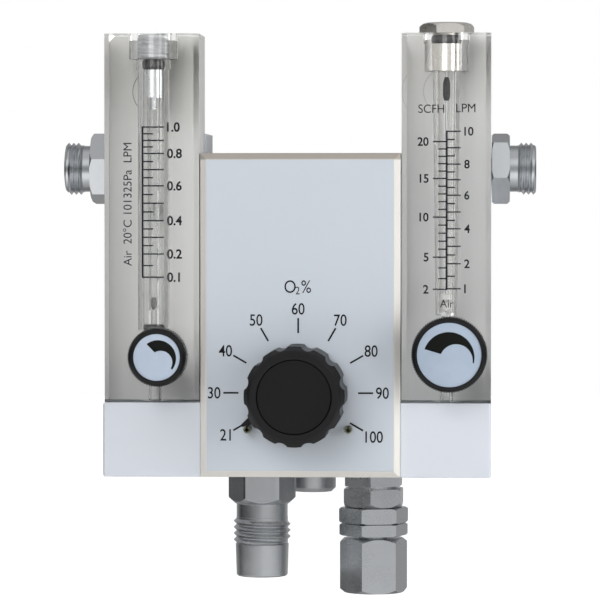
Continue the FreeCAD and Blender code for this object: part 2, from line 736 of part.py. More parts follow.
# Balance shuttle and the two plugs that close its bore
waist = "(shuttle_radius * 0.55)"
land = "(shuttle_length * 0.32)"
shuttle_skin = "(shuttle_radius - running_gap)"
piece("balance_shuttle", turned(
    "shuttle_turned",
    [("0", "0"), (shuttle_skin, "0"), (shuttle_skin, land), (waist, land),
     (waist, f"shuttle_length - {land}"),
     (shuttle_skin, f"shuttle_length - {land}"), (shuttle_skin, "shuttle_length"), ("0", "shuttle_length")],
    ("-shuttle_length / 2", shuttle_y, "shuttle_z"), "+X"))
shuttle_plugs = [rod(f"shuttle_plug_{side}", "shuttle_radius - fit_gap", "shuttle_plug_length",
                     (f"{side} * {block_half}", shuttle_y, "shuttle_z"), "-X" if side > 0 else "+X")
                 for side in (-1, 1)]
piece("shuttle_plugs", group("shuttle_plug_set", *shuttle_plugs))

# Inlet filters and duckbill valves, one of each behind both inlets
filters = []
duckbills = []
for name, across in (("air", "air_x"), ("oxygen", "oxygen_x")):
    filters.append(rod(name + "_filter", "filter_radius", "filter_thick", (across, "inlet_y", filter_base)))
    bill_base = f"{filter_base} + filter_thick"
    bill = turned(name + "_bill",
                  [("0", "0"), ("duckbill_radius", "0"), ("duckbill_radius", "duckbill_length * 0.2"),
                   ("duckbill_radius * 0.6", "duckbill_length * 0.25"),
                   ("duckbill_radius * 0.3", "duckbill_length"), ("0", "duckbill_length")],
                  (across, "inlet_y", bill_base))
    mouth = brick(name + "_mouth", "duckbill_radius * 0.5", "fit_gap * 5", "duckbill_length * 0.5",
                  (f"{across} - duckbill_radius * 0.25", "inlet_y - fit_gap * 2.5",
                   f"{bill_base} + duckbill_length * 0.6"))
    duckbills.append(cut(name + "_bill_cut", bill, mouth))
piece("inlet_filters", group("filter_set", *filters))
piece("inlet_duckbills", group("duckbill_set", *duckbills))

# Air inlet: one turned fitting with six flats, a thread and a long nose
air_hex_end = "(air_hex_length + air_chamfer)"
air_neck_end = f"({air_hex_end} + air_neck_length)"
air_thread_end = f"({air_neck_end} + air_thread_length)"
air_end = f"({air_thread_end} + air_nose_length)"
hex_corner = "(air_hex_across / sqrt(3))"
air_body = turned(
    "air_body",
    [("inlet_passage", "-inlet_shank_length"), ("inlet_shank_radius", "-inlet_shank_length"),
     ("inlet_shank_radius", "0"), (hex_corner, "0"), (hex_corner, "air_hex_length"),
     ("air_neck_radius + seat_edge", air_hex_end), ("air_neck_radius", air_hex_end),
     ("air_neck_radius", air_neck_end),
     ("air_thread_radius", f"{air_neck_end} + thread_edge"),
     ("air_thread_radius", f"{air_thread_end} - thread_edge"),
     ("air_nose_radius", air_thread_end), ("air_nose_end", air_end), ("air_bore_radius", air_end),
     ("air_bore_radius", f"{air_end} - air_bore_length"), ("inlet_passage", f"{air_end} - air_bore_length")],
    ("air_x", "inlet_y", "case_base"), "-Z")
flats(air_body, "air_flats", "air_hex_across", hex_corner, "0", air_hex_end, "air_turn")
piece("air_inlet_fitting", air_body)

# Oxygen inlet: adapter, two lock rings, and a nut that spins on a nipple
notch_end = "(oxygen_base_length + oxygen_notch_length)"
adapter_end = f"({notch_end} + oxygen_hex_length)"
rings_end = f"({adapter_end} + 3 * oxygen_ring_gap + oxygen_ring_length + oxygen_lock_length)"
base_corner = "(oxygen_base_across / sqrt(3))"
hex_radius = "(oxygen_hex_across / sqrt(3))"
spigot_bore = "(nipple_stem_radius + fit_gap)"
stem_top = f"({rings_end} + swivel_gap + swivel_wall + swivel_clear - nipple_stem_length)"
oxygen_body = turned(
    "oxygen_body",
    [("inlet_passage", "-inlet_shank_length"), ("inlet_shank_radius", "-inlet_shank_length"),
     ("inlet_shank_radius", "0"), (base_corner, "0"), (base_corner, "oxygen_base_length"),
     ("oxygen_notch_radius", "oxygen_base_length"), ("oxygen_notch_radius", notch_end),
     (f"{hex_radius} - thread_edge", notch_end), (hex_radius, f"{notch_end} + thread_edge"),
     (hex_radius, f"{adapter_end} - adapter_slope"), (f"{hex_radius} - adapter_cut", adapter_end),
     ("oxygen_spigot_radius", adapter_end), ("oxygen_spigot_radius", rings_end), (spigot_bore, rings_end),
     (spigot_bore, stem_top), ("inlet_passage", stem_top)],
    ("oxygen_x", "inlet_y", "case_base"), "-Z")
flats(oxygen_body, "oxygen_base_flats", "oxygen_base_across", base_corner, "0", "oxygen_base_length",
      "oxygen_turn")
flats(oxygen_body, "oxygen_hex_flats", "oxygen_hex_across", hex_radius, notch_end, "oxygen_hex_length",
      "oxygen_turn")
piece("oxygen_inlet_adapter", oxygen_body)


def hex_ring(name, across, length, edge, hole, at):
    corner = f"(({across}) / sqrt(3))"
    body = turned(name, [(hole, "0"), (f"{corner} - {edge}", "0"), (corner, f"{edge} * 0.6"),
                         (corner, f"{length} - {edge} * 0.6"), (f"{corner} - {edge}", length),
                         (hole, length)],
                  at, "-Z")
    flats(body, name + "_flats", across, corner, "0", length, "oxygen_nut_turn")
    return body


piece("oxygen_gland_ring", hex_ring("gland_ring", "oxygen_ring_across", "oxygen_ring_length", "gland_edge",
                                    "oxygen_spigot_radius + fit_gap",
                                    ("oxygen_x", "inlet_y", f"case_base - {adapter_end} - oxygen_ring_gap")))
piece("oxygen_lock_ring", hex_ring("lock_ring", "oxygen_lock_across", "oxygen_lock_length", "round_edge",
                                   "oxygen_spigot_radius + fit_gap",
                                   ("oxygen_x", "inlet_y", f"case_base - {adapter_end} - oxygen_ring_length"
                                    " - 2 * oxygen_ring_gap")))
collar_end = "(nipple_stem_length + nipple_collar_length)"
nipple_end = f"({collar_end} + nipple_nose_length)"
piece("oxygen_nipple", turned(
    "nipple_turned",
    [("nipple_bore_radius", "0"), ("nipple_stem_radius", "0"), ("nipple_stem_radius", "nipple_stem_length"),
     ("nipple_collar_radius", "nipple_stem_length"), ("nipple_collar_radius", collar_end),
     ("nipple_nose_radius", f"{collar_end} + nipple_shoulder"),
     ("nipple_nose_radius", f"{nipple_end} - nipple_slope"),
     ("nipple_nose_radius * 0.7", nipple_end), ("nipple_bore_radius", nipple_end)],
    ("oxygen_x", "inlet_y", f"case_base - {stem_top}"), "-Z"))
swivel_corner = "(swivel_across / sqrt(3))"
swivel_hole = "(nipple_stem_radius + 2 * running_gap)"
swivel_body = turned(
    "swivel_body",
    [(swivel_hole, "0"), (f"{swivel_corner} - swivel_cut", "0"), (swivel_corner, "swivel_slope"),
     (swivel_corner, "swivel_length - swivel_slope"), (f"{swivel_corner} - swivel_cut", "swivel_length"),
     ("swivel_bore_radius", "swivel_length"), ("swivel_bore_radius", "swivel_wall"),
     (swivel_hole, "swivel_wall")],
    ("oxygen_x", "inlet_y", f"case_base - {rings_end} - swivel_gap"), "-Z")
flats(swivel_body, "swivel_flats", "swivel_across", swivel_corner, "0", "swivel_length", "oxygen_nut_turn")
piece("oxygen_swivel_nut", swivel_body)

# Alarm reed and the muffler cap under it
piece("alarm_reed", rod("reed_barrel", "reed_radius", "reed_length",
                        ("muffler_x", "muffler_y", "case_base + muffler_shank_length")))
piece("alarm_muffler", turned(
    "muffler_turned",
    [("0", "-muffler_shank_length"), ("muffler_shank_radius", "-muffler_shank_length"),
     ("muffler_shank_radius", "0"), ("muffler_radius - round_edge", "0"), ("muffler_radius", "round_edge"),
     ("muffler_radius", "muffler_length - muffler_edge"), ("muffler_radius - muffler_edge", "muffler_length"),
     ("0", "muffler_length")],
    ("muffler_x", "muffler_y", "case_base"), "-Z"))

# Main knob: a fluted grip with a pointer, a sunk cap and a grub screw
pocket_floor = "(knob_length - knob_cap_thick - knob_cap_sunk)"
knob_body = turned(
    "knob_body",
    [("knob_hollow_radius", "0"), ("knob_radius - knob_edge", "0"), ("knob_radius", "knob_edge"),
     ("knob_radius", "knob_length - knob_shoulder"), ("knob_disc_radius", "knob_length - round_edge"),
     ("knob_disc_radius - round_edge", "knob_length"), ("knob_cap_radius + fit_gap", "knob_length"),
     ("knob_cap_radius + fit_gap", pocket_floor), ("0", pocket_floor), ("0", "knob_grip_depth + side_gap"),
     ("spindle_radius + fit_gap", "knob_grip_depth + side_gap"),
     ("spindle_radius + fit_gap", "knob_hollow_depth"), ("knob_hollow_radius", "knob_hollow_depth")],
    ("dial_x", "knob_back", "dial_z"), "-Y")
doc.recompute()
flute_orbit = "(knob_radius + knob_flute_radius - knob_flute_depth)"


def draw_flute(sketch):
    angle = "(180 / knob_lobes)"
    circle(sketch, f"{flute_orbit} * cos({angle})", f"{flute_orbit} * sin({angle})", "knob_flute_radius")


flute = pocketed(knob_body, "knob_flute", "XY_Plane", draw_flute, "knob_length", reverse=True)
flutes = knob_body.newObject("PartDesign::PolarPattern", "knob_flutes")
flutes.Originals = [flute]
flutes.Axis = (flute.Profile[0], ["N_Axis"])
flutes.Angle = 360
flutes.setExpression("Occurrences", bound("knob_lobes"))
knob_body.Tip = flutes
doc.recompute()
pointer_sketch = sketch_on(knob_body, "XY_Plane", "pointer_sketch")
pointer_root = "(knob_radius - knob_shoulder)"
pointer_corners = [(pointer_root, "-pointer_root_half"), ("pointer_reach", "-pointer_tip_half"),
                   ("pointer_reach", "pointer_tip_half"), (pointer_root, "pointer_root_half")]
outline(pointer_sketch, [(f"{out} * cos(dial_start) - ({aside}) * sin(dial_start)",
                          f"{out} * sin(dial_start) + ({aside}) * cos(dial_start)")
                         for out, aside in pointer_corners])
pointer = knob_body.newObject("PartDesign::Pad", "knob_pointer")
pointer.Profile = pointer_sketch
pointer.setExpression("Length", bound("pointer_thick"))
knob_body.Tip = pointer
doc.recompute()
screw_y = "(knob_back - (knob_hollow_depth + knob_grip_depth) / 2)"
screw_hole = rod("knob_screw_hole", "knob_screw_radius + fit_gap", "knob_radius",
                 ("dial_x", screw_y, "dial_z + spindle_radius"))
piece("main_knob", cut("knob_drilled", knob_body, screw_hole))
piece("main_knob_cap", turned(
    "knob_cap_turned",
    [("0", "0"), ("knob_cap_radius", "0"), ("knob_cap_radius", "knob_cap_thick - cap_edge"),
     ("knob_cap_radius - cap_edge", "knob_cap_thick"), ("0", "knob_cap_thick")],
    ("dial_x", f"knob_back - {pocket_floor}", "dial_z"), "-Y"))
grub = rod("grub_blank", "knob_screw_radius", "knob_screw_length",
           ("dial_x", screw_y, "dial_z + spindle_radius + fit_gap"))
grub_socket = hexagon("grub_socket", "knob_screw_radius", "knob_screw_length",
                      ("dial_x", screw_y, "dial_z + spindle_radius + knob_screw_length - knob_screw_radius"))
piece("knob_grub_screw", cut("grub_cut", grub, grub_socket))

# Rolled pins that stop the pointer at both ends of the dial
pins = []
for number, (across, up) in enumerate(pin_places):
    pin_length = "(case_wall + label_thick + pin_out)"
    pin_y = "case_front + case_wall"
    shell = rod(f"pin_wall_{number}", "pin_radius", pin_length, (across, pin_y, up), "-Y")
    hollow = rod(f"pin_hollow_{number}", "pin_hollow", f"{pin_length} * 1.5",
                 (across, f"{pin_y} + {pin_length} / 4", up), "-Y")
    slot = brick(f"pin_slot_{number}", "pin_slot", f"{pin_length} * 1.5", "2 * pin_radius",
                 (f"{across} - pin_slot / 2", f"{pin_y} - {pin_length} * 1.25", up))
    pins.append(cut(f"stop_pin_{number}", shell, hollow, slot))
piece("stop_pins", group("stop_pin_set", *pins))

# Both flowmeters stand on manifolds of one form at the sides of the case
sides = {
    "left": {
        "axis": "left_x",
        "outer": "left_side",
        "inner": "(-case_width / 2)",
        "low": "left_side",
        "out": "-X",
        "into": "+X",
        "sign": "-",
        "valve_x": "(left_x + left_valve_offset)",
    },
    "right": {
        "axis": "right_x",
        "outer": "right_side",
        "inner": "(case_width / 2)",
        "low": "(case_width / 2)",
        "out": "+X",
        "into": "-X",
        "sign": "+",
        "valve_x": "(right_x + right_valve_offset)",
    },
}
elbow_y = "(meter_back + elbow_stub_depth)"
head_y = "(meter_back + upright_depth - meter_screw_head_height)"
screw_levels = ["meter_screw_low", "meter_screw_high"]
bridges = []
elbows = []
port_rings = []
meter_screws = []
for side, place in sides.items():
    axis = place["axis"]
    # manifold: a foot under the flowmeter and an upright behind it, in one piece
    blank = doc.addObject("PartDesign::Body", side + "_manifold_blank")
    section = sketch_on(blank, "YZ_Plane", side + "_manifold_section")
    outline(section, [("meter_front", "case_base"), ("meter_back + upright_depth", "case_base"),
                      ("meter_back + upright_depth", "upright_top"), ("meter_back", "upright_top"),
                      ("meter_back", "meter_base"), ("meter_front", "meter_base")])
    pad = blank.newObject("PartDesign::Pad", side + "_manifold_pad")
    pad.Profile = section
    pad.setExpression("Length", bound(side + "_manifold_width"))
    doc.recompute()
    bevelled(blank, pad, (-1 if side == "left" else 1, 0, 0), "manifold_edge")
    put(blank, (place["low"], "0", "0"))
    tools = [
        rod(side + "_supply_across", "bridge_bore", f"{place['sign']}({axis} - {place['inner']})",
            (place["inner"], "supply_y", "bridge_z"), place["out"]),
        rod(side + "_bridge_seat", "bridge_radius + fit_gap", "bridge_sunk",
            (place["inner"], "supply_y", "bridge_z"), place["out"]),
        rod(side + "_supply_up", "supply_radius", "meter_base - bridge_z", (axis, "supply_y", "bridge_z")),
        rod(side + "_gland", "gland_ring_radius + gland_ring_section + fit_gap", "2 * gland_ring_section",
            (axis, "supply_y", "meter_base - 2 * gland_ring_section")),
        rod(side + "_stub_seat", "elbow_stub_radius + fit_gap", "elbow_stub_sunk",
            (axis, elbow_y, "upright_top - elbow_stub_sunk")),
        rod(side + "_outlet_down", "outlet_passage", "upright_top - outlet_height",
            (axis, elbow_y, "outlet_height")),
        rod(side + "_outlet_across", "outlet_passage", f"{place['sign']}({place['outer']} - {axis})",
            (axis, "upright_mid", "outlet_height"), place["out"]),
        rod(side + "_outlet_seat", "outlet_shank_radius + fit_gap", "outlet_shank_length",
            (place["outer"], "upright_mid", "outlet_height"), place["into"]),
    ]
    for number, level in enumerate(screw_levels):
        tools.append(rod(f"{side}_screw_hole_{number}", "meter_screw_radius + running_gap", "upright_depth",
                         (axis, "meter_back", level), "+Y"))
        tools.append(rod(f"{side}_screw_head_{number}", "meter_screw_head + side_gap",
                         "meter_screw_head_height", (axis, head_y, level), "+Y"))
    piece(side + "_manifold", cut(side + "_manifold_cut", blank, *tools))

    # clear flowmeter block, before its bores
    clear = doc.addObject("PartDesign::Body", side + "_clear_blank")
    plan = sketch_on(clear, "XY_Plane", side + "_clear_plan")
    half = side + "_meter_width / 2"
    outline(plan, [(f"meter_chamfer - {half}", "0"), (f"{half} - meter_chamfer", "0"),
                   (half, "meter_chamfer"), (half, "meter_depth"),
                   (f"-{half}", "meter_depth"), (f"-{half}", "meter_chamfer")])
    rise = clear.newObject("PartDesign::Pad", side + "_clear_pad")
    rise.Profile = plan
    rise.setExpression("Length", bound("meter_height"))
    put(clear, (axis, "meter_front", "meter_base"))
    place["clear"] = clear
    valve_x = place["valve_x"]
    valve_z = side + "_valve_z"
    place["bores"] = [
        rod(side + "_supply", "supply_radius", f"{valve_z} - meter_base + supply_radius",
            (axis, "supply_y", "meter_base")),
        rod(side + "_seat_hole", "valve_seat_radius", "supply_depth - valve_chamber_depth",
            (valve_x, "meter_front + valve_chamber_depth", valve_z), "+Y"),
        rod(side + "_chamber", "cartridge_radius + fit_gap", "valve_chamber_depth",
            (valve_x, "meter_front", valve_z), "+Y"),
        rod(side + "_port", "port_radius", "meter_depth - tube_depth", (axis, "tube_y", "port_height"), "+Y"),
    ]
    for number, level in enumerate(screw_levels):
        place["bores"].append(rod(f"{side}_meter_thread_{number}", "meter_screw_radius", "meter_screw_grip",
                                  (axis, "meter_back", level), "-Y"))
        screw = pan_screw(f"{side}_meter_screw_{number}", "meter_screw_radius",
                          "(upright_depth - meter_screw_head_height + meter_screw_grip - side_gap)",
                          "meter_screw_head", "meter_screw_head_height",
                          (axis, "meter_back - meter_screw_grip + side_gap", level), "+Y")
        socket = hexagon(f"{side}_meter_socket_{number}", "meter_screw_socket", "meter_screw_head_height",
                         (axis, f"{head_y} + meter_screw_head_height / 2", level), "+Y")
        meter_screws.append(cut(f"{side}_meter_screw_cut_{number}", screw, socket))

    # short tube that feeds the manifold from the gas block
    bridge_length = "(2 * bridge_sunk + case_wall + block_gap - 2 * side_gap)"
    bridge_at = (f"{place['inner']} {place['sign']} (bridge_sunk - side_gap)", "supply_y", "bridge_z")
    wall = rod(side + "_bridge_wall", "bridge_radius", bridge_length, bridge_at, place["into"])
    hole = rod(side + "_bridge_hole", "bridge_bore", bridge_length, bridge_at, place["into"])
    bridges.append(cut(side + "_bridge", wall, hole))
    port_rings.append(ring(side + "_port_ring", "gland_ring_radius", "gland_ring_section",
                           (axis, "supply_y", "meter_base - gland_ring_section")))

    # elbow from the back of the clear block down into the upright
    head = rod(side + "_elbow_head", "elbow_radius", "elbow_reach", (axis, "meter_back", "port_height"), "+Y")
    stub_length = "(port_height - upright_top + elbow_stub_sunk - side_gap)"
    stub = rod(side + "_elbow_stub", "elbow_stub_radius", stub_length, (axis, elbow_y, "port_height"), "-Z")
    across = rod(side + "_elbow_across", "port_radius", "elbow_stub_depth",
                 (axis, "meter_back", "port_height"), "+Y")
    down = rod(side + "_elbow_down", "port_radius", stub_length, (axis, elbow_y, "port_height"), "-Z")
    elbows.append(cut(side + "_elbow", joined(side + "_elbow_whole", head, stub), across, down))

    # outlet fitting: shank, six flats, neck and thread, turned from one bar
    corner = "(outlet_hex_across / sqrt(3))"
    standoff = side + "_standoff"
    neck_start = f"({standoff} + outlet_hex_length)"
    thread_start = f"({neck_start} + outlet_neck_length)"
    tip = f"({thread_start} + outlet_thread_length)"
    fitting = turned(
        side + "_fitting",
        [("outlet_passage", "-outlet_shank_length"), ("outlet_shank_radius", "-outlet_shank_length"),
         ("outlet_shank_radius", standoff), (f"{corner} - outlet_base_cut", standoff),
         (corner, f"{standoff} + round_edge"), (corner, f"{neck_start} - outlet_slope"),
         (f"{corner} - outlet_cut", neck_start), ("outlet_neck_radius", neck_start),
         ("outlet_neck_radius", thread_start), ("outlet_thread_radius", f"{thread_start} + seat_edge"),
         ("outlet_thread_radius", f"{tip} - thread_edge"), ("outlet_thread_radius - gland_edge", tip),
         ("outlet_seat_radius", tip), ("outlet_seat_radius", f"{tip} - outlet_seat_length"),
         ("outlet_passage", f"{tip} - outlet_seat_length")],
        (place["outer"], "upright_mid", "outlet_height"), place["out"])
    flats(fitting, side + "_fitting_flats", "outlet_hex_across", corner, standoff,
          "outlet_hex_length", "outlet_turn")
    piece(side + "_outlet_fitting", fitting)
piece("bridge_tubes", group("bridge_set", *bridges))
piece("meter_port_rings", group("port_ring_set", *port_rings))
piece("port_elbows", group("elbow_set", *elbows))
piece("meter_screws", group("meter_screw_set", *meter_screws))

# Left flowmeter: clear block with a tapered glass tube
left = sides["left"]
tube_floor = "(tube_bottom - 2 * tube_seal_section)"
left_bores = left["bores"] + [
    rod("tube_bore", "tube_radius + fit_gap", f"adapter_top - {tube_floor}",
        ("left_x", "tube_y", tube_floor)),
    rod("left_ring_seat", "left_ring_radius + left_ring_section + fit_gap", "2 * left_ring_section",
        ("left_x", "tube_y", "adapter_top")),
    rod("left_plug_bore", "left_plug_radius + fit_gap", "meter_top - left_plug_base",
        ("left_x", "tube_y", "left_plug_base")),
    rod("left_riser", "riser_radius", f"{tube_floor} - left_valve_z", ("left_x", "tube_y", "left_valve_z"))]
piece("left_meter_block", cut("left_block_bored", left["clear"], *left_bores))
tube_glass = rod("tube_glass", "tube_radius", "tube_top - tube_bottom", ("left_x", "tube_y", "tube_bottom"))
tube_taper = cone("tube_taper", "tube_bore_low", "tube_bore_high", "tube_top - tube_seat",
                  ("left_x", "tube_y", "tube_seat"))
tube_foot = rod("tube_foot", "tube_seat_radius", "tube_seat - tube_bottom",
                ("left_x", "tube_y", "tube_bottom"))
piece("left_metering_tube", cut("tube_bored", tube_glass, tube_taper, tube_foot))
piece("left_tube_seal", ring("tube_ring", "tube_radius - tube_seal_section", "tube_seal_section",
                             ("left_x", "tube_y", "tube_bottom - tube_seal_section")))
adapter_body = turned(
    "adapter_turned",
    [("0", "0"), ("adapter_tip_radius", "0"), ("adapter_tip_radius", "tube_top - adapter_tip"),
     ("tube_radius - fit_gap", "tube_top - adapter_tip + fit_gap / 2"),
     ("tube_radius - fit_gap", "adapter_top - adapter_tip"), ("0", "adapter_top - adapter_tip")],
    ("left_x", "tube_y", "adapter_tip"))
adapter_cross = rod("adapter_cross", "port_radius * 0.6", "tube_radius",
                    ("left_x", "tube_y", "port_height"), "+Y")
adapter_down = rod("adapter_down", "adapter_tip_radius * 0.5", "port_height - adapter_tip",
                   ("left_x", "tube_y", "adapter_tip"))
piece("left_tube_adapter", cut("adapter_cut", adapter_body, adapter_cross, adapter_down))
piece("left_plug_ring", ring("left_plug_torus", "left_ring_radius", "left_ring_section",
                             ("left_x", "tube_y", "adapter_top + left_ring_section")))
left_plug = turned(
    "left_plug_turned",
    [("0", "0"), ("left_plug_radius", "0"), ("left_plug_radius", "meter_top - left_plug_base - round_edge"),
     ("left_plug_radius - round_edge", "meter_top - left_plug_base"), ("0", "meter_top - left_plug_base")],
    ("left_x", "tube_y", "left_plug_base"))
left_socket = hexagon("left_plug_socket_cut", "left_plug_socket", "2 * left_plug_socket_depth",
                      ("left_x", "tube_y", "meter_top - left_plug_socket_depth"))
piece("left_top_plug", cut("left_plug_cut", left_plug, left_socket))
piece("left_float", turned(
    "left_float_turned",
    [("0", "0"), ("left_float_radius * 0.45", "0"), ("left_float_radius", "left_float_height * 0.3"),
     ("left_float_radius", "left_float_height * 0.75"), ("left_float_radius * 0.7", "left_float_height"),
     ("0", "left_float_height")],
    ("left_x", "tube_y", "tube_seat + left_float_clear")))

# Right flowmeter: a taper bored in the clear block, with a float on a rod
right = sides["right"]
right_bores = right["bores"] + [
    cone("right_taper", "right_bore_low", "right_bore_high", "right_plug_base - right_bore_floor",
         ("right_x", "tube_y", "right_bore_floor")),
    rod("right_plug_bore", "right_plug_radius + fit_gap", "meter_top - right_plug_base",
        ("right_x", "tube_y", "right_plug_base")),
    rod("right_ring_seat", "right_ring_radius + right_ring_section + fit_gap",
        "meter_top - right_ring_height + right_ring_section",
        ("right_x", "tube_y", "right_ring_height - right_ring_section")),
    rod("right_riser", "riser_radius", "right_bore_floor - right_valve_z",
        ("right_x", "tube_y", "right_valve_z"))]
piece("right_meter_block", cut("right_block_bored", right["clear"], *right_bores))
ring_low = "(right_ring_height - right_ring_section - right_plug_base)"
ring_high = f"({ring_low} + 2 * right_ring_section)"
ring_neck = "(right_ring_radius - right_ring_section)"
head_base = "(meter_top - right_plug_base)"
head_corner = "(right_plug_across / sqrt(3))"
plug_top = f"({head_base} + right_plug_head)"
right_plug = turned(
    "right_plug_turned",
    [("rod_radius + fit_gap", "0"), ("right_plug_radius", "0"), ("right_plug_radius", ring_low),
     (ring_neck, ring_low), (ring_neck, head_base), (head_corner, head_base),
     (head_corner, f"{plug_top} - plug_slope"), (f"{head_corner} - plug_cut", f"{plug_top} - plug_round"),
     (f"{head_corner} - plug_crown", plug_top), ("0", plug_top), ("0", ring_low),
     ("rod_radius + fit_gap", ring_low)],
    ("right_x", "tube_y", "right_plug_base"))
flats(right_plug, "right_plug_flats", "right_plug_across", head_corner, head_base, "right_plug_head",
      "right_plug_turn")
piece("right_top_plug", right_plug)
piece("right_plug_ring", ring("right_plug_torus", "right_ring_radius", "right_ring_section",
                              ("right_x", "tube_y", "right_ring_height")))
rod_top = f"(right_plug_base + {ring_low} - side_gap)"
foot_top = "(right_bore_floor + rod_foot_thick)"
guide = joined("guide_whole",
               rod("guide_wire", "rod_radius", f"{rod_top} - right_bore_floor",
                   ("right_x", "tube_y", "right_bore_floor")),
               rod("guide_foot", "rod_foot_radius", "rod_foot_thick",
                   ("right_x", "tube_y", "right_bore_floor")))
foot_sides = [brick(f"foot_side_{side}", "2 * rod_foot_radius", "rod_foot_radius", "2 * rod_foot_thick",
                    ("right_x - rod_foot_radius", f"tube_y + {place}", "right_bore_floor"))
              for side, place in enumerate(("rod_foot_radius * 0.45", "rod_foot_radius * -1.45"))]
piece("right_guide_rod", cut("guide_cut", guide, *foot_sides))
piece("right_float_stop", turned(
    "float_stop_turned",
    [("rod_radius + fit_gap", "0"), ("float_stop_radius * 0.6", "0"), ("float_stop_radius", "stop_foot"),
     ("float_stop_radius", "float_stop_high - float_stop_low - stop_shoulder"),
     ("rod_radius + cap_edge", "float_stop_high - float_stop_low"),
     ("rod_radius + fit_gap", "float_stop_high - float_stop_low")],
    ("right_x", "tube_y", "float_stop_low")))
float_neck = "(right_float_height - right_float_head_height)"
piece("right_float", turned(
    "right_float_turned",
    [("right_float_hole", "0"), ("right_float_waist * 0.8", "0"), ("right_float_waist", "seat_edge"),
     ("right_float_waist", f"{float_neck} - round_edge"), ("right_float_head * 0.9", float_neck),
     ("right_float_head", f"{float_neck} + cap_edge"), ("right_float_head", "right_float_height - cap_edge"),
     ("right_float_head - cap_edge", "right_float_height"), ("right_float_hole", "right_float_height")],
    ("right_x", "tube_y", f"{foot_top} + right_float_clear")))

# Needle valve of each flowmeter, its knob and the knob's cap
for side, place in sides.items():
    across = place["valve_x"]
    up = side + "_valve_z"
    knob_radius = side + "_knob_radius"
    knob_length = side + "_knob_length"
    cap_radius = side + "_cap_radius"
    stem_bore = "(stem_radius + running_gap)"
    seal_bore = "(stem_radius + 2 * stem_seal_section + 4 * fit_gap)"
    seal_start = "(stem_seal_depth - stem_rise - 2 * stem_seal_section)"
    cartridge_end = "(cartridge_flange_thick + cartridge_length)"
    piece(side + "_valve_cartridge", turned(
        side + "_cartridge",
        [(stem_bore, "0"), ("cartridge_flange_radius - seat_edge", "0"),
         ("cartridge_flange_radius", "seat_edge"),
         ("cartridge_flange_radius", "cartridge_flange_thick"),
         ("cartridge_radius", "cartridge_flange_thick"),
         ("cartridge_radius", cartridge_end), (seal_bore, cartridge_end), (seal_bore, seal_start),
         (stem_bore, seal_start)],
        (across, "meter_front - cartridge_flange_thick", up), "+Y"))
    seal_y = "(meter_front - cartridge_flange_thick + stem_seal_depth)"
    piece(side + "_stem_seal", ring(side + "_stem_ring", "stem_radius + stem_seal_section + fit_gap",
                                    "stem_seal_section", (across, seal_y, up), "+Y"))
    stem_start = "(small_knob_gap + stem_grip)"
    cone_start = f"({stem_start} + valve_chamber_depth - stem_cone * 0.62)"
    piece(side + "_valve_stem", turned(
        side + "_stem",
        [("0", "0"), ("stem_radius", "0"), ("stem_radius", cone_start),
         ("stem_radius * 0.18", f"{cone_start} + stem_cone"), ("0", f"{cone_start} + stem_cone")],
        (across, f"meter_front - {stem_start}", up), "+Y"))
    cap_wall = f"({cap_radius} + fit_gap)"
    cap_floor = f"({knob_length} - cap_pocket)"
    grip_end = "(stem_grip + side_gap)"
    piece(side + "_valve_knob", turned(
        side + "_knob",
        [("stem_radius + fit_gap", "0"), (f"{knob_radius} - small_knob_edge", "0"),
         (knob_radius, "small_knob_edge"), (knob_radius, f"{knob_length} - small_knob_edge"),
         (f"{knob_radius} - small_knob_edge", knob_length), (cap_wall, knob_length), (cap_wall, cap_floor),
         ("0", cap_floor), ("0", grip_end), ("stem_radius + fit_gap", grip_end)],
        (across, "meter_front - small_knob_gap", up), "-Y"))
    piece(side + "_knob_cap", turned(
        side + "_cap",
        [("0", "0"), (cap_radius, "0"), (cap_radius, "cap_thick"),
         (f"{cap_radius} * 0.75", "cap_thick + cap_dome * 0.45"),
         (f"{cap_radius} * 0.4", "cap_thick + cap_dome * 0.85"), ("0", "cap_thick + cap_dome")],
        (across, f"meter_front - small_knob_gap - {cap_floor}", up), "-Y"))

# Check every object, then write one STEP file for each piece
doc.recompute()
for thing in doc.Objects:
    if "Invalid" in thing.State or "Error" in thing.State:
        raise ValueError(f"{thing.Name} is {thing.State}")
for thing in pieces:
    if thing.Shape.isNull() or not thing.Shape.isValid():
        raise ValueError(f"{thing.Label} has no valid shape")
    thing.Shape.exportStep(f"parts/{thing.Label}.step")
print(len(pieces), "pieces")
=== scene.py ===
import json
import math

import bmesh
import bpy
from mathutils import Matrix, Vector


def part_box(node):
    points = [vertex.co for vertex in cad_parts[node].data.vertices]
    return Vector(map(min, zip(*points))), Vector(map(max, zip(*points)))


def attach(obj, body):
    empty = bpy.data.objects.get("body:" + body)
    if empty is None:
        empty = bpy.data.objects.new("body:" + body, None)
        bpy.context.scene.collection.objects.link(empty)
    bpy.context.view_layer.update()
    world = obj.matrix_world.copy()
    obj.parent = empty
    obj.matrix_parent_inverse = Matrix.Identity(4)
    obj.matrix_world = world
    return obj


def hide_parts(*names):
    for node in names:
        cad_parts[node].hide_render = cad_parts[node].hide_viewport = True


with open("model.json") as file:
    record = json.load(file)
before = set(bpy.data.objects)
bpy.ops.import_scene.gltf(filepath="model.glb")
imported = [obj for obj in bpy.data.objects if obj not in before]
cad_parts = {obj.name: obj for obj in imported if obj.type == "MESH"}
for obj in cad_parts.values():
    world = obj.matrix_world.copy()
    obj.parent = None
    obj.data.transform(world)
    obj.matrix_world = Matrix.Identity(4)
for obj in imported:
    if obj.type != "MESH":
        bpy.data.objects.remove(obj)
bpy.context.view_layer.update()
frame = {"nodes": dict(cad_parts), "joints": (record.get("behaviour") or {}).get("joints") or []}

nodes = frame["nodes"]
joints = {joint["name"]: joint for joint in frame["joints"]}
mm = 0.001
quarter = math.pi / 2
scene = bpy.context.scene


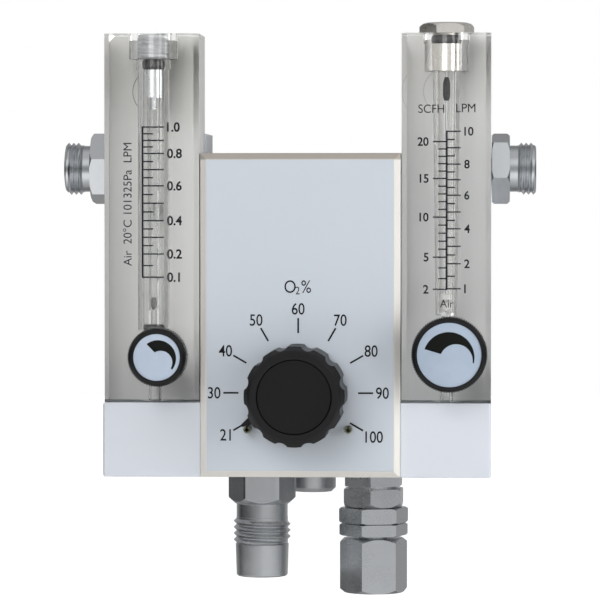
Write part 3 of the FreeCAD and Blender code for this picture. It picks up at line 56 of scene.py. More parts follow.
# Building nodes
def addNode(tree, kind, inputs=None, **settings):
    node = tree.nodes.new(kind)
    for name, value in settings.items():
        setattr(node, name, value)
    for name, value in (inputs or {}).items():
        if isinstance(value, bpy.types.NodeSocket):
            tree.links.new(value, node.inputs[name])
        else:
            node.inputs[name].default_value = value
    return node


def calculate(tree, operation, first, second=0.0, third=0.0):
    return addNode(tree, "ShaderNodeMath", {0: first, 1: second, 2: third}, operation=operation).outputs[0]


def mapValue(tree, value, source, target=(0.0, 1.0), smooth=False):
    ends = {"From Min": source[0], "From Max": source[1], "To Min": target[0], "To Max": target[1]}
    return addNode(tree, "ShaderNodeMapRange", {"Value": value, **ends},
                   interpolation_type="SMOOTHSTEP" if smooth else "LINEAR").outputs[0]


def scaleColour(tree, colour, level):
    return addNode(tree, "ShaderNodeVectorMath", {0: colour, "Scale": level}, operation="SCALE").outputs[0]


def mixColours(tree, share, first, second):
    return addNode(tree, "ShaderNodeMix", {0: share, 6: first, 7: second}, data_type="RGBA").outputs[2]


def objectPoint(tree):
    return addNode(tree, "ShaderNodeTexCoord").outputs["Object"]


def partsOf(tree, point):
    return addNode(tree, "ShaderNodeSeparateXYZ", {0: point}).outputs


# A ramp from stops, each with a place and a colour
def addRamp(tree, value, stops, blend="LINEAR"):
    ramp = addNode(tree, "ShaderNodeValToRGB", {0: value})
    colours = ramp.color_ramp
    colours.interpolation = blend
    while len(colours.elements) < len(stops):
        colours.elements.new(0.5)
    for element, (place, colour) in zip(colours.elements, stops):
        element.position = place
        element.color = (*colour, 1)
    return ramp.outputs[0]


# A group whose inputs are each given as a number, its default, or as a kind of socket
def newGroup(name, kind, inputs, outputs):
    tree = bpy.data.node_groups.new(name, kind)
    for label, given in inputs.items():
        socket = {int: "Int", float: "Float"}.get(type(given), given)
        made = tree.interface.new_socket(label, in_out="INPUT", socket_type=f"NodeSocket{socket}")
        if socket != given:
            made.default_value = given
    for label, socket in outputs.items():
        tree.interface.new_socket(label, in_out="OUTPUT", socket_type="NodeSocket" + socket)
    return tree, tree.nodes.new("NodeGroupInput").outputs, tree.nodes.new("NodeGroupOutput").inputs


# Colour and roughness that change a little over a surface, with a fine grain in its height
def makeGrainGroup():
    tree, given, wanted = newGroup(
        "surfaceGrain", "ShaderNodeTree",
        {"Point": "Vector", "Color": "Color", "Spread": 0.04, "Roughness": 0.4, "Rough Spread": 0.05,
         "Cloud Size": 60.0, "Grain Size": 2500.0},
        {"Color": "Color", "Roughness": "Float", "Height": "Float"})
    cloud = addNode(tree, "ShaderNodeTexNoise", {"Vector": given["Point"], "Scale": given["Cloud Size"],
                                                 "Detail": 4.0, "Roughness": 0.6})
    grain = addNode(tree, "ShaderNodeTexNoise", {"Vector": given["Point"], "Scale": given["Grain Size"],
                                                 "Detail": 2.0})
    shift = calculate(tree, "SUBTRACT", cloud.outputs["Fac"], 0.5)
    level = calculate(tree, "MULTIPLY_ADD", shift, given["Spread"], 1.0)
    rough = calculate(tree, "MULTIPLY_ADD", shift, given["Rough Spread"], given["Roughness"])
    tree.links.new(scaleColour(tree, given["Color"], level), wanted["Color"])
    tree.links.new(rough, wanted["Roughness"])
    tree.links.new(grain.outputs["Fac"], wanted["Height"])
    return tree


# Fine rings left by a lathe round the Z axis of its point
def makeTurnedGroup():
    tree, given, wanted = newGroup("turnedMarks", "ShaderNodeTree", {"Point": "Vector", "Marks": 2200.0},
                                   {"Height": "Float"})
    parts = partsOf(tree, given["Point"])
    across = calculate(tree, "SQRT", calculate(tree, "ADD", calculate(tree, "MULTIPLY", parts[0], parts[0]),
                                               calculate(tree, "MULTIPLY", parts[1], parts[1])))
    line = addNode(tree, "ShaderNodeCombineXYZ", {0: across, 1: 0.0, 2: parts[2]})
    marks = addNode(tree, "ShaderNodeTexNoise", {"Vector": line.outputs[0], "Scale": given["Marks"],
                                                 "Detail": 3.0, "Roughness": 0.65})
    tree.links.new(marks.outputs["Fac"], wanted["Height"])
    return tree


# A mask that is 1 in a crescent: inside one circle, outside another and on one side of a line
def makeCrescentGroup():
    tree, given, wanted = newGroup(
        "crescentMask", "ShaderNodeTree",
        {"Point": "Vector", "Outer": "Vector", "Outer Radius": 0.01, "Inner": "Vector", "Inner Radius": 0.01,
         "Side": "Vector", "Offset": 0.0},
        {"Mask": "Float"})

    def measure(operation, other):
        return addNode(tree, "ShaderNodeVectorMath", {0: given["Point"], 1: given[other]},
                       operation=operation).outputs["Value"]

    outer, inner = (calculate(tree, "LESS_THAN", measure("DISTANCE", circle), given[circle + " Radius"])
                    for circle in ("Outer", "Inner"))
    side = calculate(tree, "GREATER_THAN", measure("DOT_PRODUCT", "Side"), given["Offset"])
    ring = calculate(tree, "MULTIPLY", outer, calculate(tree, "SUBTRACT", 1.0, inner))
    tree.links.new(calculate(tree, "MULTIPLY", ring, side), wanted["Mask"])
    return tree


grainGroup = makeGrainGroup()
turnedGroup = makeTurnedGroup()
crescentGroup = makeCrescentGroup()


def newMaterial(name, colour, rough, metal=0.0, **plain):
    material = bpy.data.materials.new(name)
    material.use_nodes = True
    shader = material.node_tree.nodes["Principled BSDF"]
    sockets = {"Base Color": (*colour, 1), "Roughness": rough, "Metallic": metal, **plain}
    for socket, value in sockets.items():
        shader.inputs[socket].default_value = value
    material.diffuse_color = (*colour, 1)
    return material, material.node_tree, shader


# Gives a shader the grain's roughness, and puts out its colour and height
def addGrain(tree, shader, point, values):
    grain = addNode(tree, "ShaderNodeGroup", {"Point": point, **values}, node_tree=grainGroup).outputs
    tree.links.new(grain["Roughness"], shader.inputs["Roughness"])
    return grain["Color"], grain["Height"]


def paint(tree, shader, colour):
    tree.links.new(colour, shader.inputs["Base Color"])


# The bump of a finish, over edges that are rounded in the shading where an edge is given
def addRelief(tree, shader, height, depth, edge):
    bump = addNode(tree, "ShaderNodeBump", {"Height": height, "Strength": 1.0, "Distance": depth})
    if edge:
        soft = addNode(tree, "ShaderNodeBevel", {"Radius": edge}, samples=6)
        tree.links.new(soft.outputs[0], bump.inputs["Normal"])
    tree.links.new(bump.outputs[0], shader.inputs["Normal"])


def grainyMaterial(name, colour, rough, spread=0.05, roughSpread=0.06, clouds=60.0, grains=2500.0,
                   depth=0.00001, edge=0.0003, metal=0.0, **plain):
    material, tree, shader = newMaterial(name, colour, rough, metal, **plain)
    shade, height = addGrain(tree, shader, objectPoint(tree), {
        "Color": (*colour, 1), "Spread": spread, "Roughness": rough, "Rough Spread": roughSpread,
        "Cloud Size": clouds, "Grain Size": grains})
    paint(tree, shader, shade)
    addRelief(tree, shader, height, depth, edge)
    return material


def boxCentre(node):
    low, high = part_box(node)
    return (low + high) / 2


print("stage: finishes")
caseFinish = {"enamel": (0.80, 0.775, 0.73), "film": (0.546, 0.594, 0.65), "block": (0.655, 0.69, 0.75)}
caseEnamel = grainyMaterial("caseEnamel", caseFinish["enamel"], 0.2, spread=0.03, clouds=25.0,
                            grains=700.0, depth=0.00002, edge=0.0006, **{"Coat Weight": 0.4})
labelFilm = grainyMaterial("labelFilm", caseFinish["film"], 0.42, spread=0.035, clouds=18.0,
                           grains=5000.0, depth=0.000008, edge=0.00015)
whiteBlock = grainyMaterial("whiteBlock", caseFinish["block"], 0.38, spread=0.03, clouds=30.0,
                            grains=4000.0, depth=0.000008, edge=0.0004)
blackMoulding = grainyMaterial("blackMoulding", (0.006, 0.006, 0.007), 0.42, spread=0.4, roughSpread=0.15,
                               clouds=120.0, grains=3200.0, depth=0.00002, edge=0.0006,
                               **{"Specular IOR Level": 0.28})
knobCapFace = grainyMaterial("knobCapFace", (0.0075, 0.0075, 0.008), 0.5, spread=0.3, roughSpread=0.2,
                             clouds=90.0, grains=6000.0, edge=0.0002, **{"Specular IOR Level": 0.16})
smallKnobBlack = grainyMaterial("smallKnobBlack", (0.008, 0.008, 0.0085), 0.3, spread=0.4, roughSpread=0.1,
                                clouds=300.0, grains=5000.0, depth=0.000006, edge=0.0001,
                                **{"Specular IOR Level": 0.22})
sealRubber = grainyMaterial("sealRubber", (0.018, 0.018, 0.019), 0.45, spread=0.3, roughSpread=0.2,
                            clouds=400.0, grains=4000.0, edge=0.0001)
floatDark = grainyMaterial("floatDark", (0.09, 0.09, 0.1), 0.3, spread=0.2, clouds=600.0, edge=0.0002)
floatPale = grainyMaterial("floatPale", (0.78, 0.78, 0.77), 0.3, spread=0.1, clouds=600.0, edge=0.0002)
printInk = grainyMaterial("printInk", (0.007, 0.0075, 0.011), 0.5, spread=0.5, clouds=800.0, edge=0.00005,
                          **{"Specular IOR Level": 0.25})
bronzeFilter = grainyMaterial("bronzeFilter", (0.42, 0.3, 0.17), 0.6, spread=0.6, clouds=1500.0,
                              grains=3000.0, depth=0.00006, metal=1.0)
flatMetal = grainyMaterial("flatMetal", (0.6, 0.605, 0.61), 0.4, spread=0.12, roughSpread=0.2, clouds=150.0,
                           grains=3000.0, metal=1.0)
pinMetal = grainyMaterial("pinMetal", (0.2, 0.21, 0.13), 0.3, spread=0.5, roughSpread=0.2, clouds=900.0,
                          grains=3000.0, depth=0.00002, edge=0.0002, metal=1.0)
# A half-clear grey sheet of painted shade, for a clear block's outer side
sideShadeSheet = grainyMaterial("sideShadeSheet", (0.5, 0.5, 0.49), 0.5, spread=0.15, Alpha=0.55)

# Where the painted shade fades, in millimetres below the case's top and behind its front
caseTopShade = {"colour": (0.2, 0.16, 0.12), "share": 0.62, "below": (2.1, 1.6), "behind": (2.0, 7.0)}


# Painted shade: the case's upper front edge is darkened towards brown-grey
def addGrime():
    tree = caseEnamel.node_tree
    shader = tree.nodes["Principled BSDF"]
    painted = shader.inputs["Base Color"].links[0].from_socket
    low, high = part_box("case_shell")
    parts = partsOf(tree, objectPoint(tree))
    rise = mapValue(tree, parts[2], [high.z - drop * mm for drop in caseTopShade["below"]],
                    (0.0, caseTopShade["share"]))
    fade = mapValue(tree, parts[1], [low.y + depth * mm for depth in caseTopShade["behind"]], (1.0, 0.0))
    share = calculate(tree, "MULTIPLY", rise, fade)
    paint(tree, shader, mixColours(tree, share, painted, (*caseTopShade["colour"], 1)))


addGrime()

# The painted shade changes over a rise in millimetres, and the painted edge shade over a slant from 0 to 1
clearShadeFinish = {"rise": (0.0, 60.0), "slant": (0.45, 0.95), "edge": 0.72, "passing": (0.97, 0.97, 0.97)}


# Clear plastic or glass, its tint going from one colour at its foot to another at its head as painted shade,
# and darker where it slants away as painted shade. It lets the lamps' light and bounced light through to what
# stands behind it.
def clearMaterial(name, foot, head, rough, refraction):
    material, tree, shader = newMaterial(name, foot, rough, IOR=refraction, **{"Transmission Weight": 1.0})
    point = objectPoint(tree)
    share = mapValue(tree, partsOf(tree, point)[2], [rise * mm for rise in clearShadeFinish["rise"]], smooth=True)
    tintAndShade = mixColours(tree, share, (*foot, 1), (*head, 1))
    shade, height = addGrain(tree, shader, point, {
        "Color": tintAndShade, "Spread": 0.06, "Roughness": rough, "Rough Spread": rough * 0.8, "Cloud Size": 40.0,
        "Grain Size": 300.0})
    # Painted shade where the surface slants away
    slant = addNode(tree, "ShaderNodeLayerWeight", {"Blend": 0.5}).outputs["Facing"]
    level = mapValue(tree, slant, clearShadeFinish["slant"], (1.0, clearShadeFinish["edge"]), smooth=True)
    paint(tree, shader, scaleColour(tree, shade, level))
    path = addNode(tree, "ShaderNodeLightPath").outputs
    passing = calculate(tree, "MAXIMUM", path["Is Shadow Ray"], path["Is Diffuse Ray"])
    bare = addNode(tree, "ShaderNodeBsdfTransparent", {"Color": (*clearShadeFinish["passing"], 1)})
    mix = addNode(tree, "ShaderNodeMixShader", {0: passing, 1: shader.outputs[0], 2: bare.outputs[0]})
    tree.links.new(mix.outputs[0], tree.nodes["Material Output"].inputs["Surface"])
    return material


# Painted shade: the acrylic is darker at its head than at its foot
clearAcrylic = clearMaterial("clearAcrylic", (0.95, 0.95, 0.94), (0.9, 0.9, 0.89), 0.03, 1.49)
clearGlass = clearMaterial("clearGlass", (0.9, 0.91, 0.91), (0.9, 0.91, 0.91), 0.01, 1.5)

metalColour = {"nickel": (0.58, 0.6, 0.62), "chrome": (0.95, 0.92, 0.87), "steel": (0.52, 0.53, 0.54),
               "brass": (0.72, 0.55, 0.28), "alloy": (0.6, 0.61, 0.63)}
turnTo = {"z": (0, 0, 0), "y": (quarter, 0, 0), "x": (0, quarter, 0)}
turnedFinish = {"roughSpread": 0.1, "clouds": 180.0, "streak": 0.14}


# Turned metal for a node, with the lathe's axis through its middle
def turnedOn(node, metal, axis, rough=0.28, marks=2200.0, depth=0.000003, edge=0.00015, spread=0.06):
    colour, streak = metalColour[metal], turnedFinish["streak"]
    material, tree, shader = newMaterial(node + "Metal", colour, rough, 1.0)
    placed = addNode(tree, "ShaderNodeMapping", {
        "Vector": objectPoint(tree), "Location": boxCentre(node), "Rotation": turnTo[axis]},
        vector_type="TEXTURE").outputs[0]
    rings = addNode(tree, "ShaderNodeGroup", {"Point": placed, "Marks": marks},
                    node_tree=turnedGroup).outputs[0]
    shade, height = addGrain(tree, shader, placed, {
        "Color": (*colour, 1), "Spread": spread, "Roughness": rough,
        "Rough Spread": turnedFinish["roughSpread"], "Cloud Size": turnedFinish["clouds"]})
    level = calculate(tree, "MULTIPLY_ADD", rings, streak, 1.0 - streak / 2)
    paint(tree, shader, scaleColour(tree, shade, level))
    addRelief(tree, shader, rings, depth, edge)
    return material


# Each CAD node that stays gets the finish of its material
finishes = {}
for material, names in (
        (caseEnamel, "case_shell rear_cover"), (labelFilm, "face_label"),
        (whiteBlock, "left_manifold right_manifold"), (clearAcrylic, "left_meter_block right_meter_block"),
        (clearGlass, "left_metering_tube"), (blackMoulding, "main_knob right_float_stop"),
        (knobCapFace, "main_knob_cap"), (floatDark, "left_float"), (floatPale, "right_float"),
        (bronzeFilter, "inlet_filters"), (pinMetal, "stop_pins"),
        (flatMetal, "mounting_slide gas_block cover_screws slide_screws meter_screws port_elbows"),
        (flatMetal, "bridge_tubes shuttle_plugs"),
        (sealRubber, "spindle_seal inlet_duckbills meter_port_rings left_tube_seal left_plug_ring"),
        (sealRubber, "right_plug_ring left_stem_seal right_stem_seal")):
    finishes.update({node: material for node in names.split()})
for metal, axis, names in (
        ("nickel", "z", "oxygen_inlet_adapter oxygen_gland_ring oxygen_lock_ring oxygen_nipple"),
        ("nickel", "z", "oxygen_swivel_nut"), ("alloy", "z", "left_tube_adapter"),
        ("chrome", "z", "right_top_plug"), ("brass", "z", "alarm_reed"),
        ("brass", "y", "valve_bushing bushing_nut valve_seats"), ("steel", "x", "balance_shuttle"),
        ("steel", "y", "control_spindle mixing_poppet left_valve_cartridge right_valve_cartridge"),
        ("steel", "y", "left_valve_stem right_valve_stem"),
        ("steel", "z", "knob_grub_screw right_guide_rod")):
    finishes.update({node: turnedOn(node, metal, axis, edge=0) for node in names.split()})
finishes["alarm_muffler"] = turnedOn("alarm_muffler", "alloy", "z", rough=0.42, edge=0)

plugBodyShade = {"level": 0.7, "fade": 0.2}


# Painted shade: the right plug's body is darker inside its clear block than its bright head
def dullPlugBody():
    tree = finishes["right_top_plug"].node_tree
    shader = tree.nodes["Principled BSDF"]
    bright = shader.inputs["Base Color"].links[0].from_socket
    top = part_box("right_meter_block")[1].z
    level = mapValue(tree, partsOf(tree, objectPoint(tree))[2], (top - plugBodyShade["fade"] * mm, top),
                     (plugBodyShade["level"], 1.0))
    paint(tree, shader, scaleColour(tree, bright, level))


dullPlugBody()


def addCrescent(tree, point, outer, outerRadius, inner, innerRadius, side, offset):
    return addNode(tree, "ShaderNodeGroup", {
        "Point": point, "Outer": outer, "Outer Radius": outerRadius, "Inner": inner,
        "Inner Radius": innerRadius, "Side": side, "Offset": offset}, node_tree=crescentGroup).outputs[0]


capFinish = {"rough": 0.22, "gloss": 0.18, "spread": 0.25, "clouds": 150.0, "grains": 1500.0,
             "depth": 0.000015, "edge": 0.0001, "ink": (0.005, 0.006, 0.005)}


# Pale knob caps with a black crescent printed on each
def makeCap(node, colour, outer, outerRadius, inner, innerRadius, side, offset):
    material, tree, shader = newMaterial(node + "Face", colour, capFinish["rough"],
                                         **{"Specular IOR Level": capFinish["gloss"]})
    centre = joints[node.replace("knob_cap", "valve_turn")]["pos_m"]
    point = objectPoint(tree)
    flat = addNode(tree, "ShaderNodeMapping", {"Vector": point, "Location": (-centre[0], 0, -centre[2]),
                                               "Scale": (1, 0, 1)}).outputs[0]
    mask = addCrescent(tree, flat, Vector(outer) * mm, outerRadius * mm, Vector(inner) * mm, innerRadius * mm,
                       side, offset * mm)
    shade, height = addGrain(tree, shader, point, {
        "Color": (*colour, 1), "Spread": capFinish["spread"], "Roughness": capFinish["rough"],
        "Cloud Size": capFinish["clouds"], "Grain Size": capFinish["grains"]})
    paint(tree, shader, mixColours(tree, mask, shade, (*capFinish["ink"], 1)))
    addRelief(tree, shader, height, capFinish["depth"], capFinish["edge"])
    finishes[node] = material


# Both caps are one pale plastic; each colour is darkened as painted shade, the right one more
makeCap("left_knob_cap", (0.465, 0.54, 0.65), outer=(0.4, 0, -0.24), outerRadius=5.13,
        inner=(1.22, 0, -1.36), innerRadius=3.26, side=(0.707, 0, 0.707), offset=0.68)
makeCap("right_knob_cap", (0.39, 0.465, 0.57), outer=(-0.11, 0, -0.74), outerRadius=7.2,
        inner=(1.96, 0, -1.59), innerRadius=4.65, side=(0.275, 0, 0.961), offset=-0.33)
for node, material in finishes.items():
    mesh = nodes[node].data
    mesh.materials.clear()
    mesh.materials.append(material)


# Meshes made one by one
def newPiece(name, mesh, material=None):
    piece = bpy.data.objects.new(name, mesh)
    scene.collection.objects.link(piece)
    if material:
        mesh.materials.clear()
        mesh.materials.append(material)
    return piece


def takeMesh(work, name):
    mesh = bpy.data.meshes.new(name)
    work.to_mesh(mesh)
    work.free()
    return mesh


# Faces between two rings of as many corners
def joinRings(work, first, second):
    for step in range(len(first)):
        after = (step + 1) % len(first)
        work.faces.new((first[step], first[after], second[after], second[step]))


# For each direction of a turned piece's axis, where its own X, Y and Z point, as columns
turnedFrame = {
    "up": Matrix(((1, 0, 0), (0, 1, 0), (0, 0, 1))), "down": Matrix(((1, 0, 0), (0, -1, 0), (0, 0, -1))),
    "front": Matrix(((1, 0, 0), (0, 0, -1), (0, 1, 0))), "left": Matrix(((0, 0, -1), (0, 1, 0), (1, 0, 0))),
    "right": Matrix(((0, 0, 1), (0, 1, 0), (-1, 0, 0))),
}


# A solid turned round its axis, which starts at origin and runs along the direction. Each row is a radius
# and a place along the axis, in millimetres, or gives both for an angle, so that it can follow flats.
def turnPiece(name, rows, origin, direction, segments, material):
    work = bmesh.new()
    rings = []
    for row in rows:
        ring = []
        for step in range(segments):
            angle = 2 * math.pi * step / segments
            radius, along = (value * mm for value in (row(angle) if callable(row) else row))
            spot = Vector((radius * math.cos(angle), radius * math.sin(angle), along))
            ring.append(work.verts.new(Vector(origin) + turnedFrame[direction] @ spot))
        rings.append(ring)
    for first, second in zip(rings, rings[1:]):
        joinRings(work, first, second)
    bmesh.ops.remove_doubles(work, verts=work.verts, dist=1e-7)
    bmesh.ops.dissolve_degenerate(work, edges=work.edges, dist=1e-8)
    bmesh.ops.recalc_face_normals(work, faces=work.faces)
    return newPiece(name, takeMesh(work, name), material)


# How far a hexagon reaches at an angle, from its width across its flats
def hexRadius(across, angle):
    return across / 2 / math.cos(angle % (math.pi / 3) - math.pi / 6)


# Rows of a nut: its corners are cut back at both ends, and its flats meet the cuts in arcs
def nutRows(start, length, across, degrees, startCut, endCut):
    corner, turn = across / math.sqrt(3), math.radians(degrees)

    def endRow(drop, along):
        return lambda angle: (min(corner - drop, hexRadius(across, angle - turn)), along)

    def meetRow(drop, depth, along, way):
        def row(angle):
            flat = hexRadius(across, angle - turn)
            return flat, along + way * depth * max(0.0, (flat - (corner - drop)) / drop)
        return row

    end = start + length
    return [endRow(startCut[0], start), meetRow(*startCut, start, 1), meetRow(*endCut, end, -1),
            endRow(endCut[0], end)]


def evaluatedMesh(piece):
    bpy.context.view_layer.update()
    return bpy.data.meshes.new_from_object(piece.evaluated_get(bpy.context.evaluated_depsgraph_get()))


def runTree(piece, tree, values):
    modifier = piece.modifiers.new(tree.name, "NODES")
    modifier.node_group = tree
    for item in tree.interface.items_tree:
        if item.item_type == "SOCKET" and item.in_out == "INPUT" and item.name in values:
            modifier[item.identifier] = values[item.name]
    mesh = evaluatedMesh(piece)
    mesh.materials.clear()
    mesh.materials.append(values["Material"])
    piece.modifiers.clear()
    piece.data = mesh


# A tree that makes something in one material, for a piece
def newMaker(name, inputs):
    return newGroup(name, "GeometryNodeTree", {"Geometry": "Geometry", **inputs, "Material": "Material"},
                    {"Geometry": "Geometry"})


# The end of each tree: real meshes in that material
def endTree(tree, given, wanted, made):
    real = addNode(tree, "GeometryNodeRealizeInstances", {"Geometry": made})
    painted = addNode(tree, "GeometryNodeSetMaterial", {"Geometry": real.outputs[0],
                                                        "Material": given["Material"]})
    tree.links.new(painted.outputs[0], wanted["Geometry"])
    return tree


# What a tree has made is put in its place and joined to the piece
def placeAndJoin(tree, given, wanted, made):
    placed = addNode(tree, "GeometryNodeTransform", {"Geometry": made, "Translation": given["Place"],
                                                     "Rotation": given["Facing"]})
    both = addNode(tree, "GeometryNodeJoinGeometry")
    tree.links.new(given["Geometry"], both.inputs[0])
    tree.links.new(placed.outputs[0], both.inputs[0])
    return endTree(tree, given, wanted, both.outputs[0])


# A helical ridge on a turned piece, faded out at both ends
def makeThreadTree():
    tree, given, wanted = newMaker("threadRidge", {
        "Root": 0.006, "Height": 0.0006, "Width": 0.001, "Turns": 4.0, "Length": 0.005, "Place": "Vector",
        "Facing": "Vector"})
    spiral = addNode(tree, "GeometryNodeCurveSpiral", {
        "Resolution": 48, "Rotations": given["Turns"], "Start Radius": given["Root"],
        "End Radius": given["Root"], "Height": given["Length"]})
    upright = addNode(tree, "GeometryNodeSetCurveNormal", {"Curve": spiral.outputs[0]}, mode="Z_UP")
    along = addNode(tree, "GeometryNodeSplineParameter").outputs["Factor"]
    fade = mapValue(tree, calculate(tree, "PINGPONG", along, 0.5), (0.0, 0.06), (0.05, 1.0))
    profile = addNode(tree, "GeometryNodeCurvePrimitiveCircle", {"Resolution": 4, "Radius": 1.0})
    stretch = addNode(tree, "ShaderNodeCombineXYZ", {
        0: given["Height"], 1: calculate(tree, "MULTIPLY", given["Width"], 0.5), 2: 1.0})
    ridge = addNode(tree, "GeometryNodeTransform", {"Geometry": profile.outputs[0],
                                                    "Scale": stretch.outputs[0]})
    swept = addNode(tree, "GeometryNodeCurveToMesh", {"Curve": upright.outputs[0], "Scale": fade,
                                                      "Profile Curve": ridge.outputs[0], "Fill Caps": True})
    return placeAndJoin(tree, given, wanted, swept.outputs[0])


# Small teeth round a knob's rim
def makeTeethTree():
    tree, given, wanted = newMaker("rimTeeth", {
        "Count": 72, "Root": 0.008, "Height": 0.0003, "Length": 0.007, "Place": "Vector", "Facing": "Vector"})
    ring = addNode(tree, "GeometryNodeMeshCircle", {"Vertices": given["Count"], "Radius": given["Root"]})
    step = calculate(tree, "DIVIDE", 2 * math.pi, given["Count"])
    index = addNode(tree, "GeometryNodeInputIndex").outputs[0]
    turn = addNode(tree, "ShaderNodeCombineXYZ", {2: calculate(tree, "MULTIPLY", step, index)})
    tooth = addNode(tree, "GeometryNodeMeshCylinder", {"Vertices": 4, "Radius": 1.0, "Depth": 1.0})
    width = calculate(tree, "MULTIPLY", calculate(tree, "MULTIPLY", step, given["Root"]), 0.46)
    size = addNode(tree, "ShaderNodeCombineXYZ", {0: given["Height"], 1: width, 2: given["Length"]})
    teeth = addNode(tree, "GeometryNodeInstanceOnPoints", {
        "Points": ring.outputs[0], "Instance": tooth.outputs[0], "Rotation": turn.outputs[0],
        "Scale": size.outputs[0]})
    return placeAndJoin(tree, given, wanted, teeth.outputs[0])


# Printed lines: one thin bar on each point, as long and wide and turned as its point says
def makeLineTree():
    tree, given, wanted = newMaker("printedLines", {"Depth": 0.00005})
    span, stroke, turned = (addNode(tree, "GeometryNodeInputNamedAttribute", {"Name": name}).outputs[0]
                            for name in ("span", "stroke", "turn"))
    bar = addNode(tree, "GeometryNodeMeshCube", {"Size": (1, 1, 1)})
    size = addNode(tree, "ShaderNodeCombineXYZ", {0: span, 1: given["Depth"], 2: stroke})
    turn = addNode(tree, "ShaderNodeCombineXYZ", {1: turned})
    bars = addNode(tree, "GeometryNodeInstanceOnPoints", {
        "Points": given["Geometry"], "Instance": bar.outputs[0], "Rotation": turn.outputs[0],
        "Scale": size.outputs[0]})
    return endTree(tree, given, wanted, bars.outputs[0])


threadTree = makeThreadTree()
teethTree = makeTeethTree()
lineTree = makeLineTree()

print("stage: threaded fittings")
facingTurn = {"down": (math.pi, 0, 0), "left": (0, -quarter, 0), "right": (0, quarter, 0), "up": (0, 0, 0)}
threadShape = {"ridge": 0.92, "cut": 0.6, "segments": 96}
smoothBelow = math.radians(32)


def facing(way):
    return turnedFrame[way].col[2]


def finishPiece(piece, node, body="blender_body"):
    piece.data.shade_smooth()
    piece.data.set_sharp_from_angle(angle=smoothBelow)
    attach(piece, body)
    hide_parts(node)


# A turned piece with a thread along a length of it, a little shorter, which stands for a node
def makeThreaded(name, node, size, rows, origin, way, start, length, material):
    piece = turnPiece(name, rows, origin, way, threadShape["segments"], material)
    length -= threadShape["cut"]
    runTree(piece, threadTree, {
        "Root": size["root"] * mm, "Height": (size["major"] - size["root"]) * mm,
        "Width": size["pitch"] * threadShape["ridge"] * mm, "Turns": length / size["pitch"],
        "Length": length * mm, "Place": Vector(origin) + facing(way) * start * mm,
        "Facing": facingTurn[way], "Material": material})
    finishPiece(piece, node)


sideOutlet = {"sunk": 0.2, "across": 18.5, "hexLength": 5.2, "turn": -15.0, "cuts": ((0.9, 0.6), (1.1, 0.8)),
              "neck": 6.75, "neckLength": 2.45, "major": 7.65, "root": 6.9, "threadLength": 5.2,
              "threadGap": 0.2, "pitch": 1.42, "lead": 0.45, "chamfer": 0.5, "seat": 4.2, "seatLength": 6.0,
              "passage": 2.5}


def makeOutlet(side):
    size = sideOutlet
    neck, root, seat, chamfer = (size[key] for key in ("neck", "root", "seat", "chamfer"))
    node = side + "_outlet_fitting"
    low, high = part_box(node)
    middle = boxCentre(node)
    neckStart = size["hexLength"]
    threadStart = neckStart + size["neckLength"]
    tip = threadStart + size["threadLength"]
    floor = tip - size["seatLength"]
    origin = Vector((low.x if side == "left" else high.x, middle.y, middle.z)) - facing(side) * tip * mm
    begin = (size["passage"], -size["sunk"])
    rows = [begin, *nutRows(0, neckStart, size["across"], size["turn"], *size["cuts"]),
            (neck, neckStart), (neck, threadStart), (root, threadStart), (root, tip - size["lead"]),
            (root - chamfer, tip), (seat + chamfer, tip), (seat, tip - chamfer), (seat, floor),
            (size["passage"], floor), begin]
    makeThreaded(side + "ThreadedOutlet", node, size, rows, origin, side,
                 threadStart + size["threadGap"], size["threadLength"],
                 turnedOn(node, "nickel", "x", rough=0.24))


makeOutlet("left")
makeOutlet("right")

airInlet = {"start": 0.05, "across": 17.4, "hexLength": 9.1, "turn": -3.0, "cut": (0.25, 0.2), "cone": 1.9,
            "coneGap": 0.4, "neck": 7.6, "neckLength": 4.0, "major": 8.5, "root": 7.65, "threadLength": 8.0,
            "threadGap": 0.3, "pitch": 1.85, "nose": 7.9, "noseEnd": 7.6, "noseLength": 9.5, "chamfer": 0.4,
            "bore": 4.4, "boreLength": 12.0, "passage": 2.5}


def makeAirInlet():
    size = airInlet
    neck, root, bore, chamfer = (size[key] for key in ("neck", "root", "bore", "chamfer"))
    node = "air_inlet_fitting"
    middle = boxCentre(node)
    neckStart = size["hexLength"] + size["cone"]
    threadStart = neckStart + size["neckLength"]
    threadEnd = threadStart + size["threadLength"]
    tip = threadEnd + size["noseLength"]
    floor = tip - size["boreLength"]
    origin = Vector((middle.x, middle.y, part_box(node)[0].z + tip * mm))
    begin = (size["passage"], size["start"])
    corner = size["across"] / math.sqrt(3)
    rows = [begin, *nutRows(size["start"], neckStart - size["start"], size["across"], size["turn"],
                            size["cut"], (corner - neck - size["coneGap"], size["cone"])),
            (neck, neckStart), (neck, threadStart), (root, threadStart), (root, threadEnd),
            (size["nose"], threadEnd), (size["noseEnd"], tip - chamfer), (size["noseEnd"] - chamfer, tip),
            (bore + chamfer, tip), (bore, tip - chamfer), (bore, floor), (size["passage"], floor), begin]
    makeThreaded("airInletThreaded", node, size, rows, origin, "down",
                 threadStart + size["threadGap"], size["threadLength"],
                 turnedOn(node, "nickel", "z", rough=0.24))


makeAirInlet()

topPlug = {"major": 7.05, "root": 6.55, "pitch": 1.25, "chamfer": 0.3, "socket": 6.0, "socketDepth": 4.0}


def makeTopPlug():
    size = topPlug
    root, chamfer = size["root"], size["chamfer"]
    node = "left_top_plug"
    low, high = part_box(node)
    middle = boxCentre(node)
    length = (high.z - low.z) / mm
    floor = length - size["socketDepth"]

    def socketRow(along):
        return lambda angle: (hexRadius(size["socket"], angle), along)

    rows = [(0, 0), (root - chamfer, 0), (root, chamfer), (root, length - chamfer), (root - chamfer, length),
            socketRow(length), socketRow(floor), (0, floor)]
    makeThreaded("leftPlugThreaded", node, size, rows, Vector((middle.x, middle.y, low.z)),
                 "up", chamfer, length,
                 turnedOn(node, "alloy", "z", rough=0.5, spread=0.04, marks=900.0, depth=0.000004))


makeTopPlug()

